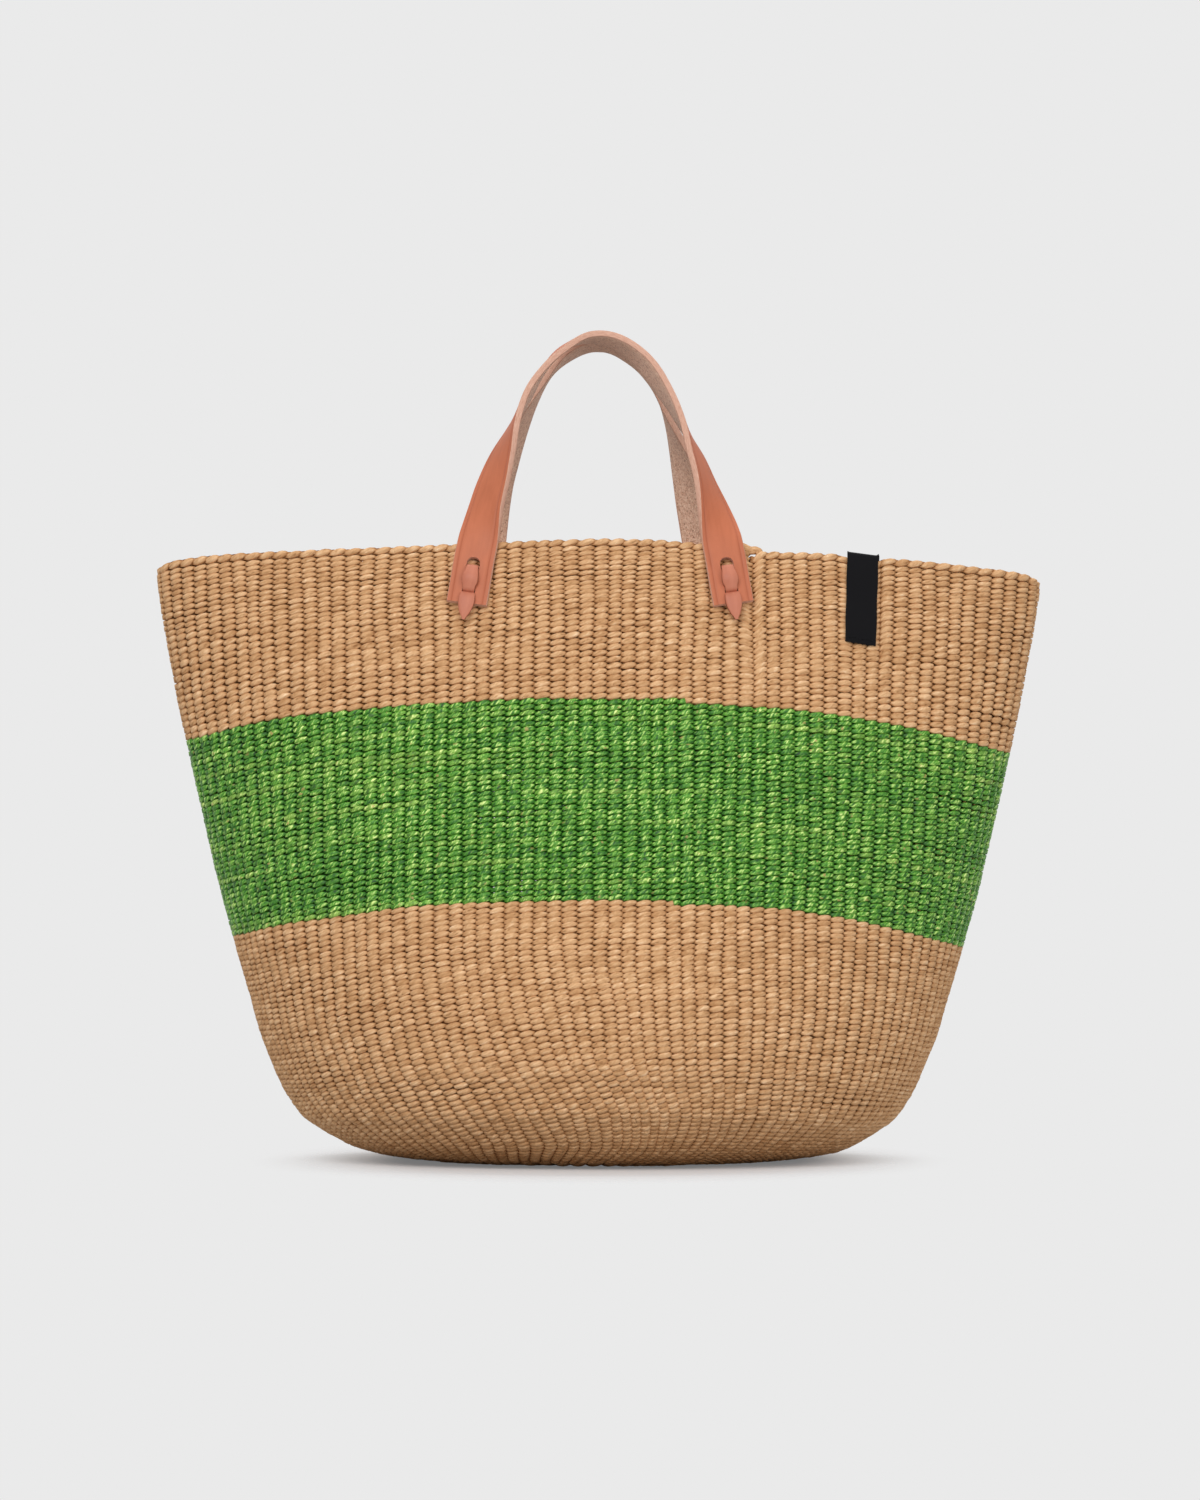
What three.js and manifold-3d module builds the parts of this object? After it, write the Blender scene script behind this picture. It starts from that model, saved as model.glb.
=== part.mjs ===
// A soft market basket: a twined body pinched flat at its mouth, a rope-like rim,
// two leather handles laced on through the wall, and a small folded label.
// Millimetres, +Z up, front towards -Y. The origin is under the middle of the base.

import * as THREE from 'three';
import { mergeVertices } from 'three/addons/utils/BufferGeometryUtils.js';
import Module from 'manifold-3d';

const wasm = await Module();
wasm.setup();

// Woven body
const rimHalfWidth = 225;
const sideHeight = 297;
const bodyHalfDepth = 126.5;
const frontRise = 24;
const wallThickness = 6.5;
const heelHeight = 20.3;
const bandBottomHeight = 109;
const bandTopHeight = 209;
const rimBraidHeight = 4.6;
const rimBraidThickness = 5.6;

// Clearances
const fitGap = 0.3;
const cutOverrun = 1;

// Leather strap
const strapWidth = 20.5;
const strapThickness = 3.3;
const strapBevel = 0.7;
const tabLength = 27.2;
const legTilt = THREE.MathUtils.degToRad(8);
const flexHeight = 306.6;
const flexGap = 0.5;
const frontArchHeight = 116.5;
const backArchHeight = 114.5;
const archStraight = 5;
const frontLegOffset = 62.2;
const backLegOffset = 56.8;
const backHandleShift = -3;
const frontApexShift = -2.9;
const backApexShift = 3;
const apexTilt = THREE.MathUtils.degToRad(10);

// Lace
const laceWidth = 8.3;
const laceNeckWidth = 6;
const laceThickness = 1.8;
const laceCrown = 0.5;
const upperHoleDrop = 4.9;
const lowerHoleDrop = 20.4;
const strapHoleHeight = 4.2;
const laceTipLength = 14.9;
const laceTipEnd = 1;

// Label and its stitch
const labelOffset = 132;
const labelWidth = 16;
const labelLength = 48;
const labelThickness = 0.8;
const labelGap = 0.5;
const labelFoldRadius = 1.4;
const labelTilt = THREE.MathUtils.degToRad(1.9);
const stitchThickness = 0.7;
const stitchWidth = 11;
const stitchHem = 2.5;

// Shape of the body, one row a station from the middle of the base to the rim:
// shares of the half width, of the side height, of the half depth and of the front rise
const stationShares = [
  [0, 0, 0, 0],
  [0.333, 0, 0.506, 0],
  [0.444, 0.005, 0.648, 0.02],
  [0.524, 0.0168, 0.751, 0.083],
  [0.582, 0.034, 0.83, 0.167],
  [0.658, 0.068, 0.925, 0.29],
  [0.6956, 0.1027, 0.972, 0.417],
  [0.7213, 0.1367, 1, 0.583],
  [0.7587, 0.2054, 0.984, 0.75],
  [0.7858, 0.2737, 0.933, 0.875],
  [0.8129, 0.342, 0.871, 1],
  [0.8613, 0.478, 0.76, 1],
  [0.903, 0.616, 0.652, 1],
  [0.9413, 0.7525, 0.549, 0.94],
  [0.9778, 0.889, 0.45, 0.81],
  [1, 1, 0.3715, 0.667],
];
// How far an arch runs straight up from its feet and level at its apex, with the strap's turn in
// degrees at even steps from its straight start at the left foot and at the right foot up to the apex
const frontArch = {
  rise: 0.15,
  level: 0.61,
  left: [30.3, 40.2, 55.2, 75.9, 86.6, 79, 70, 78.4],
  right: [37, 59.2, 69.5, 85.5, 94.2, 98.8, 90.6, 78.4],
};
const backArch = {
  rise: 0.2,
  level: 0.635,
  left: [33.7, 48.3, 54.5, 63.2, 72.3, 78.2, 65.4, 57.6],
  right: [18.1, 36, 55, 73.2, 83.7, 76.2, 61, 57.6],
};
const laceBendShare = 0.75;
// Lace tip: shares of its length with shares of the lace width
const tipShares = [
  [0, 0.7],
  [0.14, 0.94],
  [0.34, 1],
  [0.62, 0.72],
  [1, 0.12],
];

// Counts
const pointsAround = 48;
const wallSteps = 4;
const heelSteps = 6;
const upperSteps = 3;
const baseSteps = 5;
const archSteps = 16;
const flapSteps = 3;
const cornerSteps = 3;

// Materials
const naturalYarn = new THREE.MeshStandardMaterial({ color: 0xbe9167, roughness: 0.85, metalness: 0 });
const greenYarn = new THREE.MeshStandardMaterial({ color: 0x5e873c, roughness: 0.6, metalness: 0 });
const strapLeather = new THREE.MeshStandardMaterial({ color: 0xc47d63, roughness: 0.55, metalness: 0 });
const laceLeather = new THREE.MeshStandardMaterial({ color: 0xcd8468, roughness: 0.6, metalness: 0 });
const labelFabric = new THREE.MeshStandardMaterial({ color: 0x1a191b, roughness: 0.8, metalness: 0 });

// Mesh helpers
function signedVolume(points, triangles) {
  let volume = 0;
  for (const [a, b, c] of triangles) {
    volume += points[a].dot(new THREE.Vector3().crossVectors(points[b], points[c]));
  }
  return volume;
}

function solidOf(points, triangles) {
  const outward = signedVolume(points, triangles) > 0;
  const index = triangles.flatMap(([a, b, c]) => (outward ? [a, b, c] : [a, c, b]));
  const geometry = new THREE.BufferGeometry();
  geometry.setAttribute('position', new THREE.Float32BufferAttribute(points.flatMap((p) => p.toArray()), 3));
  geometry.setIndex(index);
  return geometry;
}

// Joins rings of equally many points; a closed run meets its own first ring, an open one is capped
function solidOfRings(rings, closedRun) {
  const count = rings[0].length;
  const points = rings.flat();
  const triangles = [];
  const runs = closedRun ? rings.length : rings.length - 1;
  for (let i = 0; i < runs; i += 1) {
    const next = (i + 1) % rings.length;
    for (let j = 0; j < count; j += 1) {
      const k = (j + 1) % count;
      const [a, b, c, d] = [i * count + j, i * count + k, next * count + j, next * count + k];
      triangles.push([a, b, d], [a, d, c]);
    }
  }
  if (!closedRun) {
    for (const [start, turned] of [[0, true], [(rings.length - 1) * count, false]]) {
      const centre = new THREE.Vector3();
      for (let j = 0; j < count; j += 1) centre.addScaledVector(points[start + j], 1 / count);
      points.push(centre);
      for (let j = 0; j < count; j += 1) {
        const [a, b] = [start + j, start + ((j + 1) % count)];
        triangles.push(turned ? [points.length - 1, b, a] : [points.length - 1, a, b]);
      }
    }
  }
  return solidOf(points, triangles);
}

// Sections, as pairs of a place over the width and one over the thickness
function bevelledSection(width, height, bevel) {
  const [w, h] = [width / 2, height / 2];
  return [
    [w, -h + bevel], [w, h - bevel], [w - bevel, h], [-w + bevel, h],
    [-w, h - bevel], [-w, -h + bevel], [-w + bevel, -h], [w - bevel, -h],
  ];
}

function plainSection(width, height) {
  const [w, h] = [width / 2, height / 2];
  return [[w, -h], [w, h], [-w, h], [-w, -h]];
}

function toManifold(geometry) {
  const bare = new THREE.BufferGeometry();
  bare.setAttribute('position', geometry.getAttribute('position'));
  bare.setIndex(geometry.getIndex());
  const merged = mergeVertices(bare);
  const vertProperties = Float32Array.from(merged.getAttribute('position').array);
  const triVerts = Uint32Array.from(merged.getIndex().array);
  return new wasm.Manifold(new wasm.Mesh({ numProp: 3, vertProperties, triVerts }));
}

function fromManifold(solid) {
  const mesh = solid.getMesh();
  const geometry = new THREE.BufferGeometry();
  geometry.setAttribute('position', new THREE.Float32BufferAttribute(mesh.vertProperties, mesh.numProp));
  geometry.setIndex(Array.from(mesh.triVerts));
  return geometry;
}

function cutFrom(geometry, cutters) {
  let solid = toManifold(geometry);
  for (const cutter of cutters) solid = solid.subtract(toManifold(cutter));
  return fromManifold(solid);
}

// Surface of the body: along 0 is the middle of the base and 1 the rim; angle -90 degrees is the front
const sideCurve = new THREE.CatmullRomCurve3(
  stationShares.map(([wide, high]) => new THREE.Vector3(wide * rimHalfWidth, 0, high * sideHeight)),
  false,
  'catmullrom',
);
const depthCurve = new THREE.CatmullRomCurve3(
  stationShares.map(([, , deep, rise]) => new THREE.Vector3(deep * bodyHalfDepth, 0, rise * frontRise)),
  false,
  'catmullrom',
);
const flatEdge = 1 / (stationShares.length - 1);
const slopeStep = 1e-4;

function surfacePoint(along, angle) {
  const side = sideCurve.getPoint(along);
  const front = depthCurve.getPoint(along);
  const [c, s] = [Math.cos(angle), Math.sin(angle)];
  return new THREE.Vector3(side.x * c, front.x * s, Math.max(side.z, 0) + front.z * s * s);
}

function surfaceFrame(along, angle) {
  const low = Math.max(along - slopeStep, flatEdge);
  const high = Math.min(along + slopeStep, 1);
  const along3d = surfacePoint(high, angle).sub(surfacePoint(low, angle));
  const around = surfacePoint(along, angle + slopeStep).sub(surfacePoint(along, angle - slopeStep));
  around.normalize();
  const normal = new THREE.Vector3().crossVectors(around, along3d).normalize();
  const up = new THREE.Vector3().crossVectors(normal, around);
  return { point: surfacePoint(along, angle), normal, around, up };
}

function bisect(low, high, isBelow) {
  let [a, b] = [low, high];
  for (let i = 0; i < 40; i += 1) {
    const middle = (a + b) / 2;
    if (isBelow(middle)) a = middle;
    else b = middle;
  }
  return (a + b) / 2;
}

function alongAtSideHeight(height) {
  return bisect(flatEdge, 1, (along) => sideCurve.getPoint(along).z < height);
}

function alongBy(along, distance) {
  const before = sideCurve.getPoint(along - slopeStep);
  return along + (distance * slopeStep) / sideCurve.getPoint(along).distanceTo(before);
}

function bodyRing(along, depth) {
  const ring = [];
  for (let i = 0; i < pointsAround; i += 1) {
    const frame = surfaceFrame(along, (i / pointsAround) * 2 * Math.PI);
    ring.push(frame.point.addScaledVector(frame.normal, -depth));
  }
  return ring;
}

function spread(from, to, steps) {
  return Array.from({ length: steps + 1 }, (_, i) => from + ((to - from) * i) / steps);
}

function wallZone(from, to, steps) {
  const places = spread(from, to, steps);
  const outer = places.map((along) => bodyRing(along, 0));
  const inner = places.reverse().map((along) => bodyRing(along, wallThickness));
  return solidOfRings([...outer, ...inner], true);
}

const heel = alongAtSideHeight(heelHeight);
const bandBottom = alongAtSideHeight(bandBottomHeight);
const bandTop = alongAtSideHeight(bandTopHeight);
const wallTop = alongBy(1, -rimBraidHeight - fitGap);

function baseWeave() {
  const places = spread(flatEdge, alongBy(heel, -fitGap / 2), baseSteps);
  const outer = places.map((along) => bodyRing(along, 0));
  const inner = places.reverse().map((along) => bodyRing(along, wallThickness));
  return solidOfRings([...outer, ...inner], false);
}

function rimBraid() {
  const middle = alongBy(1, -rimBraidHeight / 2);
  const section = bevelledSection(rimBraidThickness, rimBraidHeight, strapBevel);
  const rings = [];
  for (let i = 0; i < pointsAround; i += 1) {
    const frame = surfaceFrame(middle, (i / pointsAround) * 2 * Math.PI);
    const centre = frame.point.addScaledVector(frame.normal, -wallThickness / 2);
    rings.push(section.map(([across, high]) =>
      centre.clone().addScaledVector(frame.normal, across).addScaledVector(frame.up, high)));
  }
  return solidOfRings(rings, true);
}

// The place on the front (ySign -1) or back wall at a distance to the side and a height
function wallPlace(x, ySign, height) {
  const angleAt = (along) => ySign * Math.acos(x / sideCurve.getPoint(along).x);
  const along = bisect(bandTop, 1, (a) => surfacePoint(a, angleAt(a)).z < height);
  return surfaceFrame(along, angleAt(along));
}

// The foot of a strap: down runs along the strap, out away from the wall and across over its width
class StrapFoot {
  constructor(handle, sideSign) {
    const frame = wallPlace(handle.shift + sideSign * handle.legOffset, handle.ySign, flexHeight);
    this.out = frame.normal;
    const level = new THREE.Vector3(0, 0, -1);
    this.down = level.addScaledVector(this.out, -level.dot(this.out)).normalize();
    this.down.applyAxisAngle(this.out, legTilt * sideSign * -handle.ySign);
    this.across = new THREE.Vector3().crossVectors(this.out, this.down);
    this.origin = frame.point.addScaledVector(this.out, fitGap + strapThickness / 2);
  }

  at(across, down, out) {
    return this.origin.clone()
      .addScaledVector(this.across, across)
      .addScaledVector(this.down, down)
      .addScaledVector(this.out, out);
  }

  // A bar through wall and strap, from one depth to another, for cutting a hole
  bar(width, height, down, from, to) {
    const section = plainSection(width, height);
    const ring = (out) => section.map(([w, h]) => this.at(w, down + h, out));
    return solidOfRings([ring(from), ring(to)], false);
  }
}

function makeHandle(name, ySign, legOffset, shift, height, apexShift, arch) {
  const handle = { name, ySign, legOffset, shift, height, apexShift, arch };
  handle.feet = { left: new StrapFoot(handle, -1), right: new StrapFoot(handle, 1) };
  const { left, right } = handle.feet;
  handle.origin = left.origin.clone().add(right.origin).multiplyScalar(0.5);
  const halfReach = (strapWidth * Math.cos(apexTilt) + strapThickness * Math.sin(apexTilt) + flexGap) / 2;
  handle.lean = Math.asin((Math.abs(handle.origin.y) - halfReach) / height);
  handle.up = new THREE.Vector3(0, -ySign * Math.sin(handle.lean), Math.cos(handle.lean));
  handle.out = new THREE.Vector3(0, ySign * Math.cos(handle.lean), Math.sin(handle.lean));
  handle.footTurn = THREE.MathUtils.radToDeg(Math.asin(Math.abs(left.out.x)));
  return handle;
}

// A smooth line through values at even steps, read at a share of the way along it
function smoothAt(values, share) {
  const last = values.length - 1;
  const value = (index) => {
    if (index < 0) return 2 * values[0] - values[1];
    if (index > last) return 2 * values[last] - values[last - 1];
    return values[index];
  };
  const start = Math.min(Math.floor(share * last), last - 1);
  const t = share * last - start;
  const [before, low, high, after] = [start - 1, start, start + 1, start + 2].map(value);
  const leaving = (high - before) / 2;
  const reaching = (after - low) / 2;
  return low + leaving * t
    + (3 * (high - low) - 2 * leaving - reaching) * t ** 2
    + (2 * (low - high) + leaving + reaching) * t ** 3;
}

// The arch is one curve from the left foot to the apex, mirrored to the right foot,
// with its apex pushed off to one side
function handleLoop(handle) {
  const { legOffset, height, arch } = handle;
  const rise = arch.rise * height;
  const half = new THREE.CubicBezierCurve3(
    new THREE.Vector3(-legOffset, 0, 0),
    new THREE.Vector3(-legOffset + rise * Math.sin(legTilt), 0, rise * Math.cos(legTilt)),
    new THREE.Vector3(-arch.level * legOffset, 0, height),
    new THREE.Vector3(0, 0, height),
  );
  const straight = archStraight / half.getLength();
  const section = bevelledSection(strapWidth, strapThickness, strapBevel);
  const place = (flat) => handle.origin.clone()
    .addScaledVector(new THREE.Vector3(1, 0, 0), flat.x)
    .addScaledVector(handle.out, flat.y)
    .addScaledVector(handle.up, flat.z);
  const ringAt = (share, mirror) => {
    const centre = half.getPointAt(share);
    const tangent = half.getTangentAt(share);
    const outside = new THREE.Vector3(-tangent.z, 0, tangent.x);
    const turns = [handle.footTurn, ...(mirror ? arch.right : arch.left)];
    const twisted = Math.max(0, (share - straight) / (1 - straight));
    const turn = THREE.MathUtils.degToRad(smoothAt(turns, twisted));
    const face = new THREE.Vector3(0, Math.cos(turn), 0).addScaledVector(outside, Math.sin(turn));
    const across = new THREE.Vector3().crossVectors(tangent, face);
    return section.map(([w, h]) => {
      const point = centre.clone().addScaledVector(across, w).addScaledVector(face, h);
      if (share === 0) point.addScaledVector(tangent, (flexGap / 2 - point.z) / tangent.z);
      if (mirror) point.x = -point.x;
      point.x += handle.apexShift * share ** 2;
      return place(point);
    });
  };
  const shares = spread(0, 1, archSteps);
  const left = shares.map((share) => ringAt(share, false));
  const right = shares.slice(0, -1).reverse().map((share) => ringAt(share, true));
  return solidOfRings([...left, ...right], false);
}

function strapTab(handle, foot) {
  const section = bevelledSection(strapWidth, strapThickness, strapBevel);
  const ends = [0, tabLength].map((down) => section.map(([w, h]) => foot.at(w, down, h)));
  for (const point of ends[0]) {
    const above = point.clone().sub(handle.origin).dot(handle.up) + flexGap / 2;
    point.addScaledVector(foot.down, -above / foot.down.dot(handle.up));
  }
  const width = laceNeckWidth + 2 * fitGap;
  const reach = strapThickness / 2 + cutOverrun;
  return cutFrom(solidOfRings(ends, false), [
    foot.bar(width, strapHoleHeight, upperHoleDrop, -reach, reach),
    foot.bar(width, laceThickness + 2 * fitGap, lowerHoleDrop, -reach, reach),
  ]);
}

// The lace runs up the strap's face, in at the upper hole, down inside the wall,
// out at the lower hole and through its own slit, and ends in a pointed tip
function lace(foot) {
  const front = strapThickness / 2 + fitGap + laceThickness / 2;
  const back = -strapThickness / 2 - wallThickness - 2 * fitGap - laceThickness / 2;
  const corner = laceThickness * laceBendShare;
  const corners = [
    [upperHoleDrop, front, 1], [lowerHoleDrop, front, 2],
    [lowerHoleDrop, back, 3], [upperHoleDrop, back, 4],
  ];
  const rings = [];
  for (const [down, out, quarter] of corners) {
    const middleDown = down + corner * (quarter === 1 || quarter === 4 ? 1 : -1);
    const middleOut = out + corner * (quarter < 3 ? -1 : 1);
    for (let i = 0; i <= cornerSteps; i += 1) {
      const turn = ((3 - quarter - i / cornerSteps) * Math.PI) / 2;
      const [radialDown, radialOut] = [Math.cos(turn), Math.sin(turn)];
      const onFace = quarter % 2 === 1 ? i / cornerSteps : 1 - i / cornerSteps;
      const width = laceNeckWidth + (laceWidth - laceNeckWidth) * onFace * onFace;
      rings.push(laceRing(foot, width, middleDown, middleOut, corner, radialDown, radialOut));
    }
    if (quarter === 1) {
      const middle = (upperHoleDrop + lowerHoleDrop) / 2;
      rings.push(laceRing(foot, laceWidth, middle, front + laceCrown, 0, 0, 1));
    }
  }
  const tip = tipShares.map(([share, wide]) => {
    const length = laceTipLength * share + lowerHoleDrop - laceThickness / 2;
    const width = Math.max(laceWidth * wide, laceTipEnd);
    return plainSection(width, laceThickness).map(([w, h]) => foot.at(w, length, front + h));
  });
  return fromManifold(toManifold(solidOfRings(rings, true)).add(toManifold(solidOfRings(tip, false))));
}

function laceRing(foot, width, down, out, radius, radialDown, radialOut) {
  return plainSection(width, laceThickness).map(([w, h]) =>
    foot.at(w, down + (radius + h) * radialDown, out + (radius + h) * radialOut));
}

// Label: folded over the rim, outside and inside alike. Past the rim its place runs on straight up.
function labelPoint(across, down, out) {
  const along = alongBy(1, -Math.max(down, 0));
  const x = labelOffset - down * Math.sin(labelTilt);
  const frame = surfaceFrame(along, -Math.acos(x / sideCurve.getPoint(along).x));
  return frame.point
    .addScaledVector(frame.around, across)
    .addScaledVector(frame.normal, out)
    .addScaledVector(frame.up, Math.max(-down, 0));
}

const labelOut = labelGap + labelThickness / 2;
const labelIn = -wallThickness - labelGap - labelThickness / 2;

function labelStrip() {
  const foldStart = labelFoldRadius - fitGap - labelThickness / 2;
  const ring = (down, out, normalDown, normalOut) => plainSection(labelWidth, labelThickness)
    .map(([w, h]) => labelPoint(w, down + h * normalDown, out + h * normalOut));
  const flap = spread(labelLength, foldStart + labelThickness, flapSteps);
  const rings = flap.map((down) => ring(down, labelOut, 0, 1));
  const folds = [[labelOut - labelFoldRadius, 0], [labelIn + labelFoldRadius, Math.PI / 2]];
  for (const [middle, start] of folds) {
    for (const turn of spread(start, start + Math.PI / 2, cornerSteps)) {
      const [o, d] = [Math.cos(turn), -Math.sin(turn)];
      rings.push(ring(foldStart + labelFoldRadius * d, middle + labelFoldRadius * o, d, o));
    }
  }
  rings.push(...flap.reverse().map((down) => ring(down, labelIn, 0, -1)));
  return solidOfRings(rings, false);
}

function stitchRing(width, thickness, outFrom, outTo) {
  const down = labelLength - stitchHem;
  const w = width / 2;
  const t = thickness / 2;
  const corners = [[w, outTo, 1, 1], [-w, outTo, -1, 1], [-w, outFrom, -1, -1], [w, outFrom, 1, -1]];
  const section = [[t, -t], [t, t], [-t, t], [-t, -t]];
  return solidOfRings(corners.map(([across, out, sideways, outward]) => section
    .map(([grow, high]) => labelPoint(across + grow * sideways, down + high, out + grow * outward))), true);
}

const stitchOut = labelOut + labelThickness / 2 + fitGap + stitchThickness / 2;
const stitchIn = labelIn - labelThickness / 2 - fitGap - stitchThickness / 2;

function stitchHoles() {
  const size = stitchThickness + 2 * fitGap;
  return [-1, 1].map((side) => {
    const section = plainSection(size, size);
    const ring = (out) => section
      .map(([w, h]) => labelPoint(w + (side * stitchWidth) / 2, labelLength - stitchHem + h, out));
    return solidOfRings([ring(stitchIn), ring(stitchOut)], false);
  });
}

// Assembly
const basket = new THREE.Group();

function addPiece(name, geometry, material) {
  geometry.computeVertexNormals();
  const mesh = new THREE.Mesh(geometry, material);
  mesh.name = name;
  basket.add(mesh);
}

const handles = [
  makeHandle('front', -1, frontLegOffset, 0, frontArchHeight, frontApexShift, frontArch),
  makeHandle('back', 1, backLegOffset, backHandleShift, backArchHeight, backApexShift, backArch),
];

function laceHoles(foot) {
  const width = laceNeckWidth + 2 * fitGap;
  const from = -strapThickness / 2 - wallThickness - cutOverrun - fitGap;
  return [upperHoleDrop, lowerHoleDrop]
    .map((down) => foot.bar(width, laceThickness + 2 * fitGap, down, from, 0));
}

const wallHoles = handles.flatMap((handle) => Object.values(handle.feet).flatMap(laceHoles));
const halfGap = fitGap / 2;

addPiece('base_weave', baseWeave(), naturalYarn);
addPiece('lower_wall_weave',
  wallZone(alongBy(heel, halfGap), alongBy(bandBottom, -halfGap), heelSteps), naturalYarn);
addPiece('green_band_weave',
  wallZone(alongBy(bandBottom, halfGap), alongBy(bandTop, -halfGap), wallSteps), greenYarn);
addPiece('upper_wall_weave',
  cutFrom(wallZone(alongBy(bandTop, halfGap), wallTop, upperSteps), [...wallHoles, ...stitchHoles()]),
  naturalYarn);
addPiece('rim_braid', rimBraid(), naturalYarn);
for (const handle of handles) {
  addPiece(`${handle.name}_handle_loop`, handleLoop(handle), strapLeather);
  for (const [side, foot] of Object.entries(handle.feet)) {
    addPiece(`${handle.name}_${side}_strap_tab`, strapTab(handle, foot), strapLeather);
    addPiece(`${handle.name}_${side}_lace`, lace(foot), laceLeather);
  }
}
addPiece('label', cutFrom(labelStrip(), stitchHoles()), labelFabric);
addPiece('label_stitch', stitchRing(stitchWidth, stitchThickness, stitchIn, stitchOut), labelFabric);

export default basket;
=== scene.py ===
# A soft market basket of twined yarn with two leather handles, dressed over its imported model.
# Lengths are in millimetres until a mesh is made. +Z is up and the front looks towards -Y.

import math

import bpy
import numpy as np
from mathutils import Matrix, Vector


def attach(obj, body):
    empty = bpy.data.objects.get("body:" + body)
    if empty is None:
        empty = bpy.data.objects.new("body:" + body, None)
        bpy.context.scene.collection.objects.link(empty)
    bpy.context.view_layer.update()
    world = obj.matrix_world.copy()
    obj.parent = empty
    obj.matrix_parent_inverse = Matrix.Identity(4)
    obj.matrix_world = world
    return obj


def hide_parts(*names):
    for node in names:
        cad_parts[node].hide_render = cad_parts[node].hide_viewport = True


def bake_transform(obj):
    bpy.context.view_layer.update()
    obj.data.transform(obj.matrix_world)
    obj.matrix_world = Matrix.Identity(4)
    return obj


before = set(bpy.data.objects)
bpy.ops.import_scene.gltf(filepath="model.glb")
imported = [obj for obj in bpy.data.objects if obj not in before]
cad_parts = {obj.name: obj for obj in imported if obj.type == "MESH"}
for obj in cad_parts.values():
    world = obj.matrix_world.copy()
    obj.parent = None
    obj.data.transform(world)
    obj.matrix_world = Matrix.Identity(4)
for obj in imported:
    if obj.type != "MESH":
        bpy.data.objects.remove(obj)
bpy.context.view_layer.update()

MM = 0.001
TINY = 1e-9

# Woven body, as in the part's source
RIM_HALF_WIDTH = 225.0
SIDE_HEIGHT = 297.0
BODY_HALF_DEPTH = 126.5
FRONT_RISE = 24.0
WALL_THICKNESS = 6.5
HEEL_HEIGHT = 20.3
BAND_BOTTOM_HEIGHT = 109.0
BAND_TOP_HEIGHT = 209.0
# Half width, side height, half depth and front rise at even steps up the wall, as shares of the full ones
STATIONS = np.array([
    (0, 0, 0, 0), (0.333, 0, 0.506, 0), (0.444, 0.005, 0.648, 0.02), (0.524, 0.0168, 0.751, 0.083),
    (0.582, 0.034, 0.83, 0.167), (0.658, 0.068, 0.925, 0.29), (0.6956, 0.1027, 0.972, 0.417),
    (0.7213, 0.1367, 1, 0.583), (0.7587, 0.2054, 0.984, 0.75), (0.7858, 0.2737, 0.933, 0.875),
    (0.8129, 0.342, 0.871, 1), (0.8613, 0.478, 0.76, 1), (0.903, 0.616, 0.652, 1),
    (0.9413, 0.7525, 0.549, 0.94), (0.9778, 0.889, 0.45, 0.81), (1, 1, 0.3715, 0.667),
]) * (RIM_HALF_WIDTH, SIDE_HEIGHT, BODY_HALF_DEPTH, FRONT_RISE)

# Straps, laces and label, as in the part's source
FIT_GAP = 0.3
STRAP_WIDTH = 20.5
STRAP_THICKNESS = 3.3
TAB_LENGTH = 27.2
LEG_TILT = math.radians(8)
FLEX_HEIGHT = 306.6
FLEX_GAP = 0.5
ARCH_STRAIGHT = 5.0
APEX_TILT = math.radians(10)
# Left and right are the strap's turn in degrees, at even steps from its foot to the apex
HANDLE_SHAPES = [
    {
        "name": "front", "y_sign": -1, "leg_offset": 62.2, "shift": 0.0,
        "height": 116.5, "apex_shift": -2.9, "rise": 0.15, "level": 0.61,
        "left": [30.3, 40.2, 55.2, 75.9, 86.6, 79, 70, 78.4],
        "right": [37, 59.2, 69.5, 85.5, 94.2, 98.8, 90.6, 78.4],
    },
    {
        "name": "back", "y_sign": 1, "leg_offset": 56.8, "shift": -3.0,
        "height": 114.5, "apex_shift": 3.0, "rise": 0.2, "level": 0.635,
        "left": [33.7, 48.3, 54.5, 63.2, 72.3, 78.2, 65.4, 57.6],
        "right": [18.1, 36, 55, 73.2, 83.7, 76.2, 61, 57.6],
    },
]
LACE_WIDTH = 8.3
LACE_NECK_WIDTH = 6.0
LACE_THICKNESS = 1.8
LACE_CROWN = 0.5
UPPER_HOLE_DROP = 4.9
LOWER_HOLE_DROP = 20.4
LACE_TIP_LENGTH = 14.9
LABEL_OFFSET = 132.0
LABEL_WIDTH = 16.0
LABEL_LENGTH = 48.0
LABEL_THICKNESS = 0.8
LABEL_GAP = 0.5
LABEL_FOLD_RADIUS = 1.4
LABEL_TILT = math.radians(1.9)

# Twining: rows from the base's middle to the rim, and stitches a row
BASE_ROWS = 52
LOWER_ROWS = 29
BAND_ROWS = 38
UPPER_ROWS = 28
RIM_ROWS = 12
LOWER_ROW_PITCH = 2.9
RIM_ROW_PITCH = 2.5
RIM_EDGE = 2.9
ROW_STEP = 0.25
ROW_WINDOW = 9
STITCHES = 128
LEAST_STITCH = 8.6
STITCH_PITCH = 7.3
STITCH_STEPS = np.array([0, 0.2, 0.38, 0.5, 0.62, 0.8])
STRAND_SECTION = np.array([(1, 0.68), (0, 1), (-1, 0.68), (-1, -0.68), (0, -1), (1, -0.68)])
STRAND_SIDES = len(STRAND_SECTION)
STRAND_GIRTH = 9.0
ROPE_RISE = 0.9
ROPE_END = 10.3
BAND_TOP_JOG = 6
BAND_BOTTOM_JOG = 5


# Lines and surfaces
def unit(v):
    return v / np.maximum(np.linalg.norm(v, axis=-1, keepdims=True), TINY)


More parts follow.
